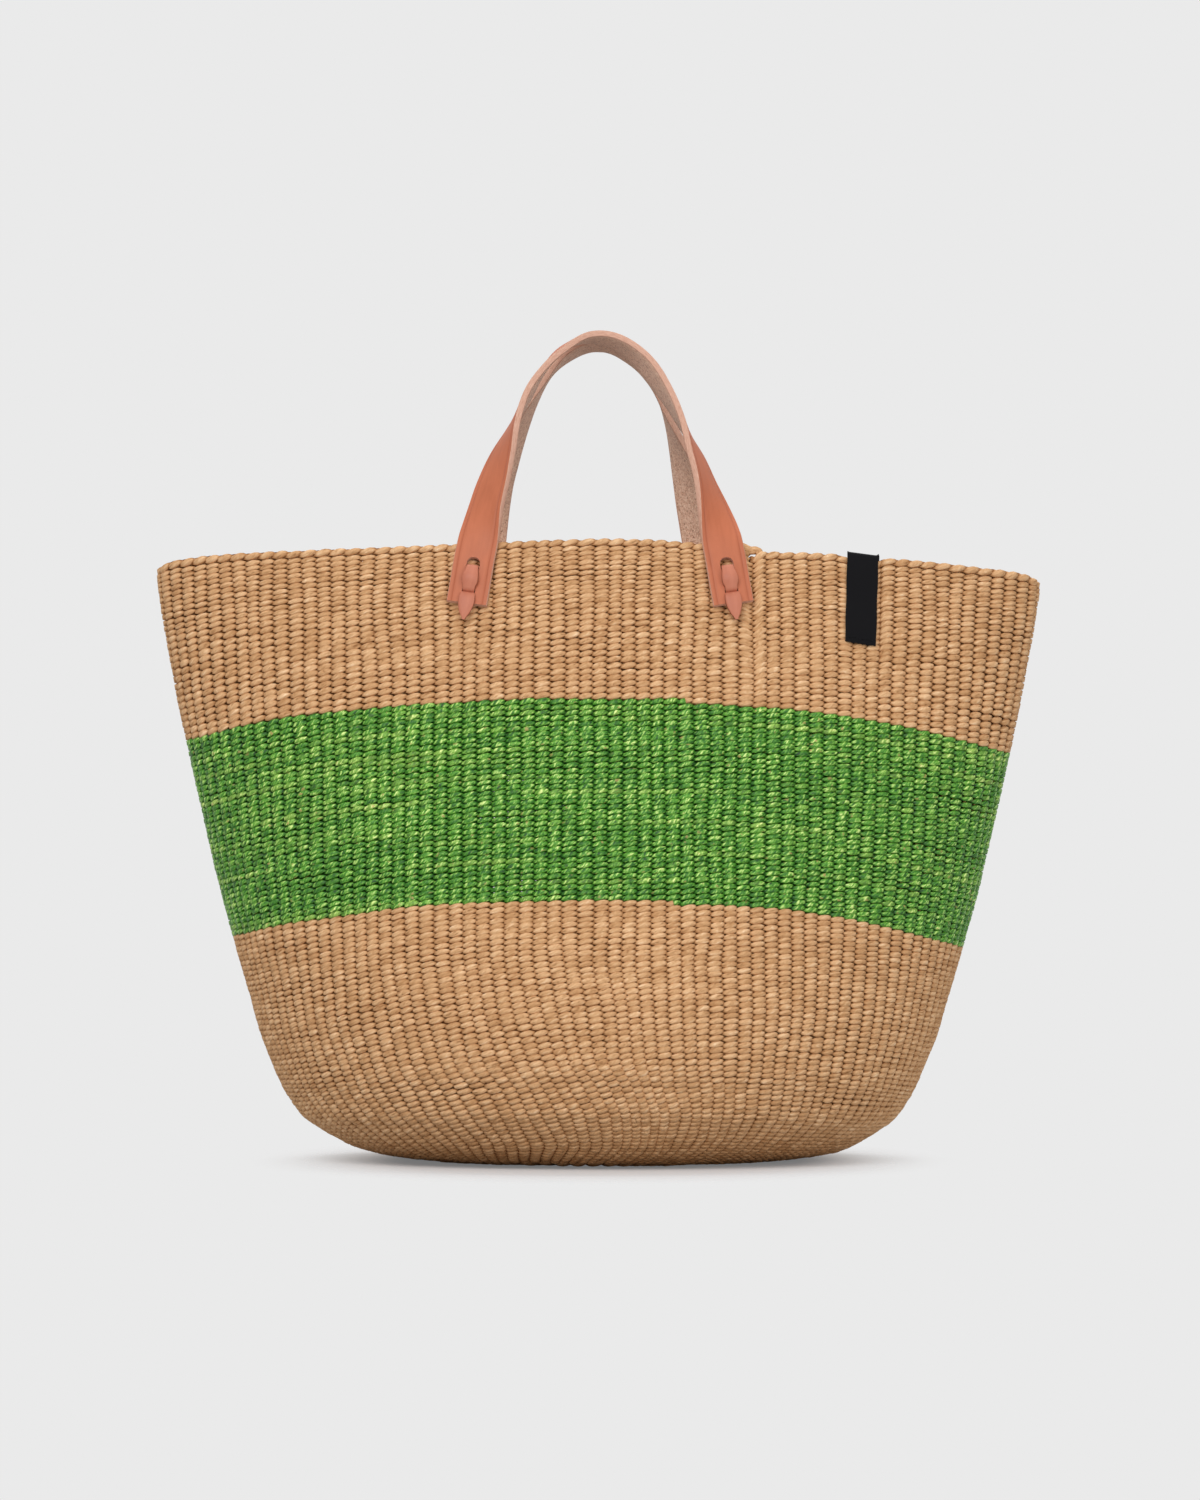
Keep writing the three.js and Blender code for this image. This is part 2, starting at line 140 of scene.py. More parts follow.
def path_lengths(points):
    """The way from the first point to each, along the straight lines between them."""
    return np.concatenate([[0], np.cumsum(np.linalg.norm(np.diff(points, axis=0), axis=1))])


def smooth_line(knots, place):
    """A smooth line through knots, at places counted in knots."""
    knots = np.asarray(knots, float)
    padded = np.concatenate([2 * knots[:1] - knots[1:2], knots, 2 * knots[-1:] - knots[-2:-1]])
    first = np.minimum(place.astype(int), len(knots) - 2)
    t = np.asarray(place - first)
    t = t.reshape(t.shape + (1,) * (knots.ndim - 1))
    before, low, high, after = (padded[first + i] for i in range(4))
    leaving, reaching = (high - before) / 2, (after - low) / 2
    return (low + leaving * t + (3 * (high - low) - 2 * leaving - reaching) * t**2
            + (2 * (low - high) + leaving + reaching) * t**3)


def even_line(knots, share):
    """The same line at shares of its knots."""
    return smooth_line(knots, np.clip(share, 0, 1) * (len(knots) - 1))


def ramp(value, start, reach):
    """From 0 at start to 1 at reach beyond it."""
    return np.clip((value - start) / reach, 0, 1)


def smoothstep(t):
    return t * t * (3 - 2 * t)


def surface(along, angle):
    """The outside of the wall, by the share of the way up it and the angle around."""
    wide, high, deep, rise = np.moveaxis(even_line(STATIONS, np.asarray(along, float)), -1, 0)
    c, s = np.cos(angle), np.sin(angle)
    return np.stack([wide * c, deep * s, np.maximum(high, 0) + rise * s * s], -1)


def surface_frame(along, angle):
    """Point, outward normal, direction around and direction up the wall."""
    step = 1e-3
    low, high = np.maximum(along - step, 0), np.minimum(along + step, 1)
    around = unit(surface(along, angle + step) - surface(along, angle - step))
    normal = unit(np.cross(around, surface(high, angle) - surface(low, angle)))
    return surface(along, angle), normal, around, np.cross(normal, around)


FRONT = -math.pi / 2
ALONGS = np.linspace(0.002, 1, 400)
FRONT_LENGTH = path_lengths(surface(ALONGS, np.full(ALONGS.shape, FRONT)))
SIDE_LENGTH = path_lengths(surface(ALONGS, np.zeros(ALONGS.shape)))
SHARE_STEPS = 1024


def along_at_side_height(height):
    return float(np.interp(height, even_line(STATIONS, ALONGS)[:, 1], ALONGS))


def front_length(along):
    return float(np.interp(along, ALONGS, FRONT_LENGTH))


def girth_table():
    """Angles at even shares of each girth, from the front centre rightwards, and the girths themselves."""
    angles = FRONT + np.linspace(0, 2 * math.pi, 2 * SHARE_STEPS + 1)
    shares = np.linspace(0, 1, SHARE_STEPS + 1)
    rows, girths = [], []
    for along in ALONGS:
        point, normal, _, _ = surface_frame(np.full(angles.shape, along), angles)
        lengths = path_lengths(point - normal * WALL_THICKNESS / 2)
        girths.append(lengths[-1])
        rows.append(np.interp(shares, lengths / lengths[-1], angles))
    return np.array(rows), np.array(girths)


ANGLES, GIRTHS = girth_table()


# Smooth noise over the weave: it closes on itself around the girth
def field(seed, across, rows):
    return np.random.default_rng(seed).uniform(-1, 1, (rows, across))


def sample_field(grid, share, turn, rows_a_cell):
    rows, across = grid.shape
    x = np.mod(share, 1) * across
    y = np.mod(turn / rows_a_cell, rows)
    i, j = y.astype(int), x.astype(int)
    a, b = smoothstep(y - i), smoothstep(x - j)
    i2, j2 = (i + 1) % rows, (j + 1) % across
    return (grid[i, j] * (1 - a) * (1 - b) + grid[i, j2] * (1 - a) * b
            + grid[i2, j] * a * (1 - b) + grid[i2, j2] * a * b)


DRIFT = field(3, 22, 40)
SWELL = field(5, 30, 40)
FINE_DRIFT = field(11, 64, 90)
COLUMN_DRIFT = field(13, 50, 30)
STITCH_RANDOM = np.random.default_rng(17).random((4, 40009))

# Columns of stitches: low on the front they draw in towards one spot and twist, by the share of the way up
FAN = np.array([(0, 0), (0.12, 0.1), (0.25, 0.34), (0.35, 0.3), (0.42, 0.23), (0.48, 0.15), (0.54, 0.07),
                (0.62, 0), (1, 0)])
FAN_MIDDLE = 0.03
FAN_REACH = 0.12
FAN_RIGHT = 0.35
TWIST = np.array([(0, 0), (0.12, 0.6), (0.22, 1), (0.28, 1), (0.34, 0.82), (0.4, 0.55), (0.46, 0.3),
                  (0.52, 0.12), (0.6, 0), (1, 0)])
TWIST_SHIFT = 0.016
TWIST_REACH = 0.15
WANDER = 0.0013
WANDERS_UP = 60
WANDER_CELL = 4


def fanned(along, share):
    """Columns drawn in and twisted low on the front, and everywhere wandering a little."""
    away = np.mod(share - FAN_MIDDLE + 0.5, 1) - 0.5
    draw = np.interp(along, *FAN.T) * np.exp(-((away / FAN_REACH) ** 2)) * np.where(away > 0, FAN_RIGHT, 1)
    wander = WANDER * sample_field(COLUMN_DRIFT, share, along * WANDERS_UP, WANDER_CELL)
    twist = TWIST_SHIFT * np.interp(along, *TWIST.T) * np.exp(-((away / TWIST_REACH) ** 2))
    return share - draw * away + wander + twist


def angle_at(along, share):
    share = fanned(along, share)
    row = np.clip((along - ALONGS[0]) / (ALONGS[1] - ALONGS[0]), 0, len(ALONGS) - 1.001)
    column = np.mod(share, 1) * SHARE_STEPS
    i, j = row.astype(int), np.minimum(column.astype(int), SHARE_STEPS - 1)
    a, b = row - i, column - j
    low = ANGLES[i, j] * (1 - b) + ANGLES[i, j + 1] * b
    high = ANGLES[i + 1, j] * (1 - b) + ANGLES[i + 1, j + 1] * b
    return low * (1 - a) + high * a


# Rows
BAND_BOTTOM_ROW = BASE_ROWS + LOWER_ROWS
BAND_TOP_ROW = BAND_BOTTOM_ROW + BAND_ROWS
TOP_ROW = BAND_TOP_ROW + UPPER_ROWS


def row_places():
    """Turns, and the share of the way up the wall at each, from the row pitches measured down the front."""
    band_bottom = front_length(along_at_side_height(BAND_BOTTOM_HEIGHT))
    band_top = front_length(along_at_side_height(BAND_TOP_HEIGHT))
    top = front_length(1) - RIM_EDGE
    knots = np.array([
        (0, 0),
        (BASE_ROWS, band_bottom - LOWER_ROWS * LOWER_ROW_PITCH),
        (BAND_BOTTOM_ROW, band_bottom),
        (BAND_TOP_ROW, band_top),
        (TOP_ROW - RIM_ROWS, top - (RIM_ROWS + 1) * RIM_ROW_PITCH),
        (TOP_ROW + 1, top),
        (TOP_ROW + 2, top + RIM_ROW_PITCH),
    ])
    turns = np.arange(0, TOP_ROW + 2, ROW_STEP)
    lengths = np.interp(turns, *knots.T)
    padded = np.pad(lengths, ROW_WINDOW // 2, mode="reflect", reflect_type="odd")
    smooth = np.convolve(padded, np.full(ROW_WINDOW, 1 / ROW_WINDOW), "valid")
    smooth[0] = 0
    return turns, np.interp(smooth, FRONT_LENGTH, ALONGS)


TURNS, TURN_ALONGS = row_places()


def along_at(turn):
    return np.interp(turn, TURNS, TURN_ALONGS)


def stitches_in(turn):
    """Stitches in the row that a turn belongs to: the spokes double where the girth allows it."""
    girth = np.interp(along_at(np.floor(turn) + 0.5), ALONGS, GIRTHS)
    count = np.full(np.shape(turn), STITCHES)
    for half in (STITCHES // 2, STITCHES // 4, STITCHES // 8):
        count = np.where(girth / half < LEAST_STITCH, half, count)
    return count


ROW_COUNTS = stitches_in(np.arange(TOP_ROW + 3) + 0.5)
ROW_STARTS = np.concatenate([[0], np.cumsum(ROW_COUNTS)])

# How far the rows of the hand-made wall stand above even ones, over the width: in the middle and at the rim
BAND_RAISE = np.array([
    (-225, 1.6), (-205, 2.4), (-180, 3.4), (-150, 3.6), (-130, 3.2), (-91, 2.4), (-66, 1.3), (-41, 0.7),
    (-15, 0.3), (20, 0.5), (36, 1.2), (48, 2.4), (75, 3.1), (92, 3.8), (115, 3.7), (140, 3), (163, 1.4),
    (180, 0.4), (225, -0.6),
])
RIM_RAISE = np.array([
    (-225, 4.2), (-219, 4.6), (-210, 4.8), (-195, 4.7), (-180, 4.1), (-155, 2.6), (-130, 1.8), (-100, 0.6),
    (-70, 0.4), (-45, 0.7), (-30, 1.3), (0, 2), (30, 2), (48, 1), (72, 0.6), (74, -1.6), (78, -1.8),
    (81, 0.6), (90, 1), (110, 1.8), (121, 2), (125, 0.2), (139, -0.3), (143, 2.4), (160, 3), (200, 3.5),
    (212, 3.5), (219, 3.2), (225, 2.4),
])
# Each span is where a change begins and how far on it is complete
BAND_RAISE_SPAN = (15, 80)
RIM_RAISE_SPAN = (215, 70)
TILT_DROP = 2.0
TILT_POWER = 1.3
LEFT_BULGE = 1.6
LEFT_BULGE_SPAN = (80, 80)
RIGHT_SAG = 2.2
RIGHT_SAG_SPAN = (60, 60)
RIGHT_SAG_FOOT = 8
RIGHT_SAG_REACH = 28
CORNER_SPAN = (213.0, RIM_HALF_WIDTH - 213.0)
CORNER_RIM_SPAN = (-16, 14)
CORNER_DROP = 4.0
CORNER_TUCK = 1.6


def tilted(points):
    """The wall as it hangs: the mouth a little lower on the right, rows and rim a little uneven."""
    x, z = points[..., 0], np.maximum(points[..., 2], 0)
    drop = TILT_DROP * x / RIM_HALF_WIDTH * (z / SIDE_HEIGHT) ** TILT_POWER
    band = np.interp(x, *BAND_RAISE.T) * ramp(z, *BAND_RAISE_SPAN)
    rim = np.interp(x, *RIM_RAISE.T)
    at_rim = smoothstep(ramp(z, *RIM_RAISE_SPAN))
    sag = RIGHT_SAG * ramp(x, *RIGHT_SAG_SPAN) * ramp(z, 0, RIGHT_SAG_FOOT)
    sag = sag * np.exp(-((z / RIGHT_SAG_REACH) ** 2))
    corner = ramp(np.abs(x), *CORNER_SPAN) ** 2
    corner = corner * ramp(z - SIDE_HEIGHT, *CORNER_RIM_SPAN) ** 2
    aside = LEFT_BULGE * ramp(-x, *LEFT_BULGE_SPAN) + CORNER_TUCK * corner * np.sign(x)
    rise = band * (1 - at_rim) + rim * at_rim - drop - sag - CORNER_DROP * corner
    return np.stack([x - aside, points[..., 1], points[..., 2] + rise], -1)


# Meshes
def volume_of(points, faces):
    total = 0.0
    for block in faces:
        for i in range(1, block.shape[1] - 1):
            a, b, c = points[block[:, 0]], points[block[:, i]], points[block[:, i + 1]]
            total += float(np.sum(a * np.cross(b, c)))
    return total / 6


def turned_over(values, faces):
    """Values of each corner, in the order of faces whose corners run the other way."""
    parts, start = [], 0
    for block in faces:
        part = values[start:start + block.size].reshape(*block.shape, -1)
        parts.append(part[:, ::-1].reshape(block.size, -1))
        start += block.size
    return np.concatenate(parts)


def make_mesh(name, points, faces, uvs, materials, face_materials=None, floats=None, bake_uvs=None):
    """faces is a list of arrays with one row a face; uvs has one pair a corner, in the same order."""
    points = np.asarray(points, float)
    if volume_of(points, faces) < 0:
        uvs = turned_over(np.asarray(uvs), faces)
        bake_uvs = None if bake_uvs is None else turned_over(np.asarray(bake_uvs), faces)
        faces = [block[:, ::-1] for block in faces]
    mesh = bpy.data.meshes.new(name)
    mesh.vertices.add(len(points))
    mesh.vertices.foreach_set("co", (points * MM).astype(np.float32).ravel())
    corners = np.concatenate([f.ravel() for f in faces]).astype(np.int32)
    sizes = np.concatenate([np.full(len(f), f.shape[1], np.int32) for f in faces])
    starts = np.concatenate([[0], np.cumsum(sizes)[:-1]]).astype(np.int32)
    mesh.loops.add(len(corners))
    mesh.loops.foreach_set("vertex_index", corners)
    mesh.polygons.add(len(sizes))
    mesh.polygons.foreach_set("loop_start", starts)
    mesh.polygons.foreach_set("use_smooth", np.ones(len(sizes), bool))
    if face_materials is not None:
        mesh.polygons.foreach_set("material_index", np.asarray(face_materials, np.int32))
    mesh.update(calc_edges=True)
    for layer_name, values in (("OFBake", bake_uvs), ("yarn", uvs)):
        if values is not None:
            layer = mesh.uv_layers.new(name=layer_name)
            layer.data.foreach_set("uv", np.asarray(values, np.float32).ravel())
    for attribute, values in (floats or {}).items():
        made = mesh.attributes.new(attribute, "FLOAT", "POINT")
        made.data.foreach_set("value", np.asarray(values, np.float32).ravel())
    for material in materials:
        mesh.materials.append(material)
    mesh.validate()
    piece = bpy.data.objects.new(name, mesh)
    bpy.context.scene.collection.objects.link(piece)
    return piece


def tube_faces(count, sides, start):
    """Corners of the quads of a tube of count rings, and of its two end caps."""
    ring = np.arange(count - 1)[:, None] * sides
    side = np.arange(sides)[None, :]
    after = (side + 1) % sides
    quads = np.stack([ring + side, ring + after, ring + sides + after, ring + sides + side], -1)
    quads = quads.reshape(-1, 4) + start
    fan = np.arange(1, sides - 1)
    first = np.stack([np.zeros_like(fan), fan + 1, fan], -1) + start
    last = np.stack([np.zeros_like(fan), fan, fan + 1], -1) + start + (count - 1) * sides
    return quads, np.vstack([first, last])


def quad_map(starts, ends, lines):
    """The map of a tube's quads: from starts to ends along each ring of them, and lines around it."""
    along = np.stack([starts, starts, ends, ends], -1)[:, None, :].repeat(len(lines) - 1, 1)
    around = np.stack([lines[:-1], lines[1:], lines[1:], lines[:-1]], -1)[None].repeat(len(starts), 0)
    return np.stack([along, around], -1)


def tube_map(lengths, lines):
    return quad_map(lengths[:-1], lengths[1:], lines)


def sweep(centres, axis_a, axis_b, sizes_a, sizes_b, section):
    """Rings of a tube, one a centre; section is pairs of places along the two axes."""
    a = axis_a[:, None, :] * (section[:, 0][None, :, None] * sizes_a[:, None, None])
    b = axis_b[:, None, :] * (section[:, 1][None, :, None] * sizes_b[:, None, None])
    return centres[:, None, :] + a + b


def round_section(sides):
    angles = np.arange(sides) / sides * 2 * math.pi
    return np.stack([np.cos(angles), np.sin(angles)], -1)


def square_to(direction, tangent):
    """A direction made square to a tangent."""
    return unit(direction - tangent * np.sum(direction * tangent, 1, keepdims=True))


# Strands: how round a stitch stands out, by row, and how uneven the yarn is in millimetres and shares
ROUNDNESS = np.array([
    (0, 0.6), (30, 0.42), (BAND_BOTTOM_ROW, 0.4), (TOP_ROW - 14, 0.42), (TOP_ROW - 6, 0.62),
])
DRIFT_SIZE = 0.6
DRIFT_CELL = 5
FINE_DRIFT_SIZE = 0.3
FINE_DRIFT_CELL = 1.7
SWELL_SIZE = 0.45
SWELL_CELL = 7
SWELL_DEPTH = 0.6
SETTLED_SPAN = (4, 12)
CALM_ROWS = 5
CALM_SHARE = 0.35
FLOOR_ROWS = 10
FLOOR_SHARE = 0.75
DEPTH_JITTER = 0.3
HEIGHT_JITTER = 0.2
TALL_JITTER = 0.18
THICK_JITTER = 0.1
PINCH = 0.56
PINCH_POWER = 0.8
THINNED = 0.8
MAP_SHIFT = 3.0
BAKE_SHARE = 0.998
BAKE_INSET = 0.001


def strand(turns, which, bulge, lift, thick, tall, rise):
    """One of a twined row's two strands, from its turns: rings, stitch numbers, how far it shows, tones."""
    share = np.mod(turns, 1)
    row = np.floor(turns).astype(int)
    stitch = ROW_STARTS[row] + ROW_COUNTS[row] * share
    phase = math.pi * (stitch + which)
    drift = (DRIFT_SIZE * sample_field(DRIFT, share, turns, DRIFT_CELL)
             + FINE_DRIFT_SIZE * sample_field(FINE_DRIFT, share, turns, FINE_DRIFT_CELL))
    swell = SWELL_SIZE * sample_field(SWELL, share, turns, SWELL_CELL)
    settled = ramp(turns, *SETTLED_SPAN) * np.clip((TOP_ROW - turns) / CALM_ROWS, CALM_SHARE, 1)
    along = along_at(turns)
    angle = angle_at(along, share)
    point, normal, _, up = surface_frame(along, angle)
    below = surface(along_at(turns - 0.5), angle)
    above = surface(along_at(turns + 0.5), angle)
    pitch = np.linalg.norm(above - below, axis=1)
    pick = (np.floor(stitch + 0.5).astype(int) * 2 + which) % STITCH_RANDOM.shape[1]
    jitter = STITCH_RANDOM[:, pick] - 0.5
    front = np.cos(phase)
    shown = np.abs(front)
    radial = bulge * np.sign(front) * shown ** np.interp(turns, *ROUNDNESS.T)
    over_floor = np.clip(turns / FLOOR_ROWS, FLOOR_SHARE, 1)
    depth = radial * over_floor + swell * settled * SWELL_DEPTH + DEPTH_JITTER * jitter[0] * shown
    height = lift * pitch * np.sin(phase) + (drift * settled + HEIGHT_JITTER * jitter[1] * shown) + rise
    centre = point - normal * (WALL_THICKNESS / 2) + normal * depth[:, None] + up * height[:, None]
    centre = tilted(centre)
    tangent = unit(np.gradient(centre, axis=0))
    axis_a = square_to(normal, tangent)
    axis_b = np.cross(tangent, axis_a)
    pinch = PINCH + (1 - PINCH) * shown**PINCH_POWER
    tallness = tall * pitch / 2 * pinch * (1 + TALL_JITTER * jitter[2])
    thickness = thick / 2 * (THINNED + (1 - THINNED) * shown) * (1 + THICK_JITTER * jitter[3])
    rings = sweep(centre, axis_a, axis_b, thickness, tallness, STRAND_SECTION)
    return rings, stitch, shown, STITCH_RANDOM[0, pick]


def strand_parts(turns, which, first_row, rows, shape):
    """A strand's points, quads and caps, the maps of both, those for baking, and its tones and dives."""
    rings, stitch, shown, tone = strand(turns, which, *shape)
    count = len(turns)
    quads, caps = tube_faces(count, STRAND_SIDES, which * count * STRAND_SIDES)
    lines = np.arange(STRAND_SIDES + 1)
    place = stitch * STITCH_PITCH
    uvs = tube_map(place, lines / STRAND_SIDES + MAP_SHIFT * which).reshape(-1, 2)
    cap_uvs = np.zeros((caps.size, 2)) + (place[0], 0)
    row = np.floor(turns[:-1] + TINY)
    bake = quad_map(turns[:-1] - row, np.minimum(turns[1:] - row, 1.0), lines)
    line = ((row - first_row) * 2 + which) * len(lines)
    bake_v = (line[:, None, None] + bake[..., 1] + 0.5) / (rows * 2 * len(lines))
    bake = np.stack([bake[..., 0] * BAKE_SHARE + BAKE_INSET, bake_v], -1).reshape(-1, 2)
    cap_bake = np.tile([[0.0, 0.0], [BAKE_INSET, 0.0], [0.0, BAKE_INSET]], (len(caps), 1))
    tones, dives = np.repeat(tone, STRAND_SIDES), np.repeat(1 - shown, STRAND_SIDES)
    return rings.reshape(-1, 3), quads, caps, uvs, cap_uvs, bake, cap_bake, tones, dives


def woven(name, zone, material, *shape):
    """A twined zone: two strands for each run of turns, with a grid map for baking."""
    first_row, end_row = math.floor(zone[0]), math.ceil(zone[1])
    turns = []
    for row in range(first_row, end_row):
        count = int(ROW_COUNTS[row])
        turns.append(row + (np.arange(count)[:, None] + STITCH_STEPS).ravel() / count)
    turns = np.concatenate([*turns, [end_row]])
    turns = turns[(turns >= zone[0] - TINY) & (turns <= zone[1] + TINY)]
    both = [strand_parts(turns, which, first_row, end_row - first_row, shape) for which in (0, 1)]
    points, quads, caps, uvs, cap_uvs, bakes, cap_bakes, tones, dives = zip(*both)
    floats = {"tone": np.concatenate(tones), "dive": np.concatenate(dives)}
    return make_mesh(name, np.concatenate(points), [*quads, *caps], np.concatenate([*uvs, *cap_uvs]),
                     [material], floats=floats, bake_uvs=np.concatenate([*bakes, *cap_bakes]))


# Materials
def srgb(r, g, b):
    """Linear colour of an sRGB one given from 0 to 255."""
    values = [v / 255 for v in (r, g, b)]
    return [v / 12.92 if v <= 0.04045 else ((v + 0.055) / 1.055) ** 2.4 for v in values] + [1.0]


class Nodes:
    """A tree of nodes, with short ways to add to it."""

    def __init__(self, tree):
        self.tree = tree

    def put(self, socket, value):
        if isinstance(value, bpy.types.NodeSocket):
            self.tree.links.new(value, socket)
        else:
            socket.default_value = value

    def node(self, kind, values=None, **settings):
        """The sockets of a new node's outputs."""
        made = self.tree.nodes.new(kind)
        for key, value in settings.items():
            setattr(made, key, value)
        for key, value in (values or {}).items():
            self.put(made.inputs[key], value)
        return made.outputs

    def coordinates(self, scale, turn=0.0):
        place = self.node("ShaderNodeUVMap", uv_map="yarn")[0]
        values = {"Vector": place, "Scale": scale, "Rotation": (0, 0, turn)}
        return self.node("ShaderNodeMapping", values)[0]

    def slanted(self, slant, along, across):
        """Yarn coordinates in millimetres, turned by a slant and then scaled along and across the fibres."""
        turned = self.coordinates((1, STRAND_GIRTH, 1), slant)
        return self.node("ShaderNodeMapping", {"Vector": turned, "Scale": (along, across, 1)})[0]

    def noise(self, vector, detail, roughness=0.5, distortion=0.0, scale=1.0):
        values = {"Vector": vector, "Scale": scale, "Detail": detail, "Roughness": roughness,
                  "Distortion": distortion}
        return self.node("ShaderNodeTexNoise", values)[0]

    def attribute(self, name):
        return self.node("ShaderNodeAttribute", attribute_name=name)["Fac"]

    def math(self, operation, a, b=0.0):
        return self.node("ShaderNodeMath", {0: a, 1: b}, operation=operation)[0]

    def times(self, first, *others):
        for other in others:
            first = self.math("MULTIPLY", first, other)
        return first

    def weighed(self, a, share, b):
        return self.math("ADD", self.times(a, share), self.times(b, 1 - share))

    def span(self, value, low, high, to_low=0.0, to_high=1.0, **settings):
        values = {0: value, 1: low, 2: high, 3: to_low, 4: to_high}
        return self.node("ShaderNodeMapRange", values, **settings)[0]

    def mix(self, factor, a, b, blend="MIX"):
        return self.node("ShaderNodeMix", {0: factor, 6: a, 7: b}, data_type="RGBA", blend_type=blend)[2]

    def mix_shaders(self, factor, a, b):
        return self.node("ShaderNodeMixShader", {0: factor, 1: a, 2: b})[0]

    def bump(self, height, distance, strength=1.0, normal=None):
        values = {"Height": height, "Distance": distance, "Strength": strength}
        if normal is not None:
            values["Normal"] = normal
        return self.node("ShaderNodeBump", values)[0]

    def ramp(self, value, stops):
        made = self.tree.nodes.new("ShaderNodeValToRGB")
        self.put(made.inputs[0], value)
        elements = made.color_ramp.elements
        while len(elements) < len(stops):
            elements.new(0.5)
        for element, (place, colour) in zip(elements, stops):
            element.position = place
            element.color = colour
        return made.outputs[0]


class Finish(Nodes):
    """A material whose colour, roughness and bump come from nodes."""

    def __init__(self, name):
        self.material = bpy.data.materials.new(name)
        self.material.use_nodes = True
        super().__init__(self.material.node_tree)
        self.shader = self.tree.nodes["Principled BSDF"]

    def finish(self, colour, roughness, normal, specular, sheen=0.0):
        values = {"Base Color": colour, "Roughness": roughness, "Specular IOR Level": specular,
                  "Sheen Weight": sheen}
        if normal is not None:
            values["Normal"] = normal
        for key, value in values.items():
            self.put(self.shader.inputs[key], value)
        return self.material


# Painted shade darkens the yarn at the foot of the basket, up to this height in metres
FOOT_SHADE_HEIGHT = 0.018
FOOT_PAINTED_SHADE = 0.72
# The share around a strand at which its inward side has its middle
INWARD_SIDE = 0.41667


def yarn_finish(f, colour, shade, crossing_shade, fine, coarse, specular, roughness, powers=(1.0, 1.4, 1.9)):
    """Paints shade into a yarn's colour, darkest where two rows part beside a crossing, and lays its fibres
    over it.
    """
    around = f.node("ShaderNodeSeparateXYZ", {0: f.node("ShaderNodeUVMap", uv_map="yarn")[0]})[1]
    from_inside = f.math("FRACT", f.math("SUBTRACT", around, INWARD_SIDE))
    flank = f.span(f.math("ABSOLUTE", f.math("SUBTRACT", from_inside, 0.5)), 0.04, 0.15)
    crossing = f.span(f.attribute("dive"), 0.3, 0.78)
    deep = f.times(flank, f.math("ADD", f.times(crossing, 0.9), 0.08))
    height = f.node("ShaderNodeSeparateXYZ", {0: f.node("ShaderNodeTexCoord")["Object"]})[2]
    # Painted shade: in the grooves between rows, where a strand dives at a crossing, and at the basket's
    # foot; the powers make it warmer or greener as it deepens
    shade = f.times(shade, f.span(deep, 0, 1, 1, 0.06), f.span(crossing, 0.4, 1, 1, crossing_shade),
                    f.span(height, 0.0, FOOT_SHADE_HEIGHT, FOOT_PAINTED_SHADE, 1.0))
    channels = {i: f.math("POWER", shade, power) for i, power in enumerate(powers)}
    colour = f.mix(1.0, colour, f.node("ShaderNodeCombineColor", channels)[0], "MULTIPLY")
    normal = f.bump(coarse, 0.0005, 0.7)
    normal = f.bump(fine, 0.00022, 0.6, normal)
    return f.finish(colour, f.span(fine, 0.3, 0.7, roughness[1], roughness[0]), normal, specular)


def natural_yarn():
    f = Finish("natural_yarn_look")
    fibre = f.noise(f.slanted(0.14, 0.16, 1.25), 3.0, 0.55, 0.3)
    crease = f.noise(f.slanted(0.3, 0.3, 0.75), 2.0, 0.5, 0.9)
    patch = f.noise(f.coordinates((0.008, 0.3, 1)), 3.0, 0.6)
    colour = f.ramp(f.weighed(fibre, 0.55, crease), [
        (0.28, srgb(140, 94, 54)), (0.41, srgb(204, 156, 110)),
        (0.55, srgb(226, 180, 133)), (0.72, srgb(248, 213, 172)),
    ])
    shade = f.times(f.span(f.attribute("tone"), 0, 1, 0.88, 1.08), f.span(patch, 0.3, 0.7, 0.9, 1.08))
    return yarn_finish(f, colour, shade, 0.74, fibre, crease, 0.25, (0.78, 0.92))


def green_yarn():
    f = Finish("green_yarn_look")
    fibre = f.noise(f.slanted(0.75, 0.28, 1.3), 3.0, 0.6, 0.3)
    strands = f.noise(f.slanted(0.6, 0.35, 0.85), 2.0, 0.5, 0.5)
    patch = f.noise(f.coordinates((0.05, 0.9, 1)), 2.0, 0.5)
    dyed = f.noise(f.coordinates((0.0045, 0.05, 1)), 2.0, 0.6)
    tan_fibre = f.noise(f.coordinates((0.35, 4, 1), 0.6), 1.0, 0.5)
    colour = f.ramp(f.weighed(fibre, 0.55, strands), [
        (0.36, srgb(8, 62, 0)), (0.45, srgb(54, 124, 16)),
        (0.53, srgb(112, 178, 56)), (0.62, srgb(226, 250, 150)),
    ])
    colour = f.mix(f.span(tan_fibre, 0.68, 0.74, 0, 0.8), colour, srgb(188, 160, 96))
    colour = f.mix(f.span(dyed, 0.52, 0.7, 0, 0.35), colour, srgb(176, 196, 96))
    shade = f.times(f.span(f.attribute("tone"), 0, 1, 0.78, 1.09), f.span(patch, 0.3, 0.7, 0.88, 1.08),
                    f.span(dyed, 0.34, 0.66, 0.83, 1.14))
    return yarn_finish(f, colour, shade, 0.52, fibre, strands, 0.5, (0.42, 0.62), (1.9, 1.15, 2.2))


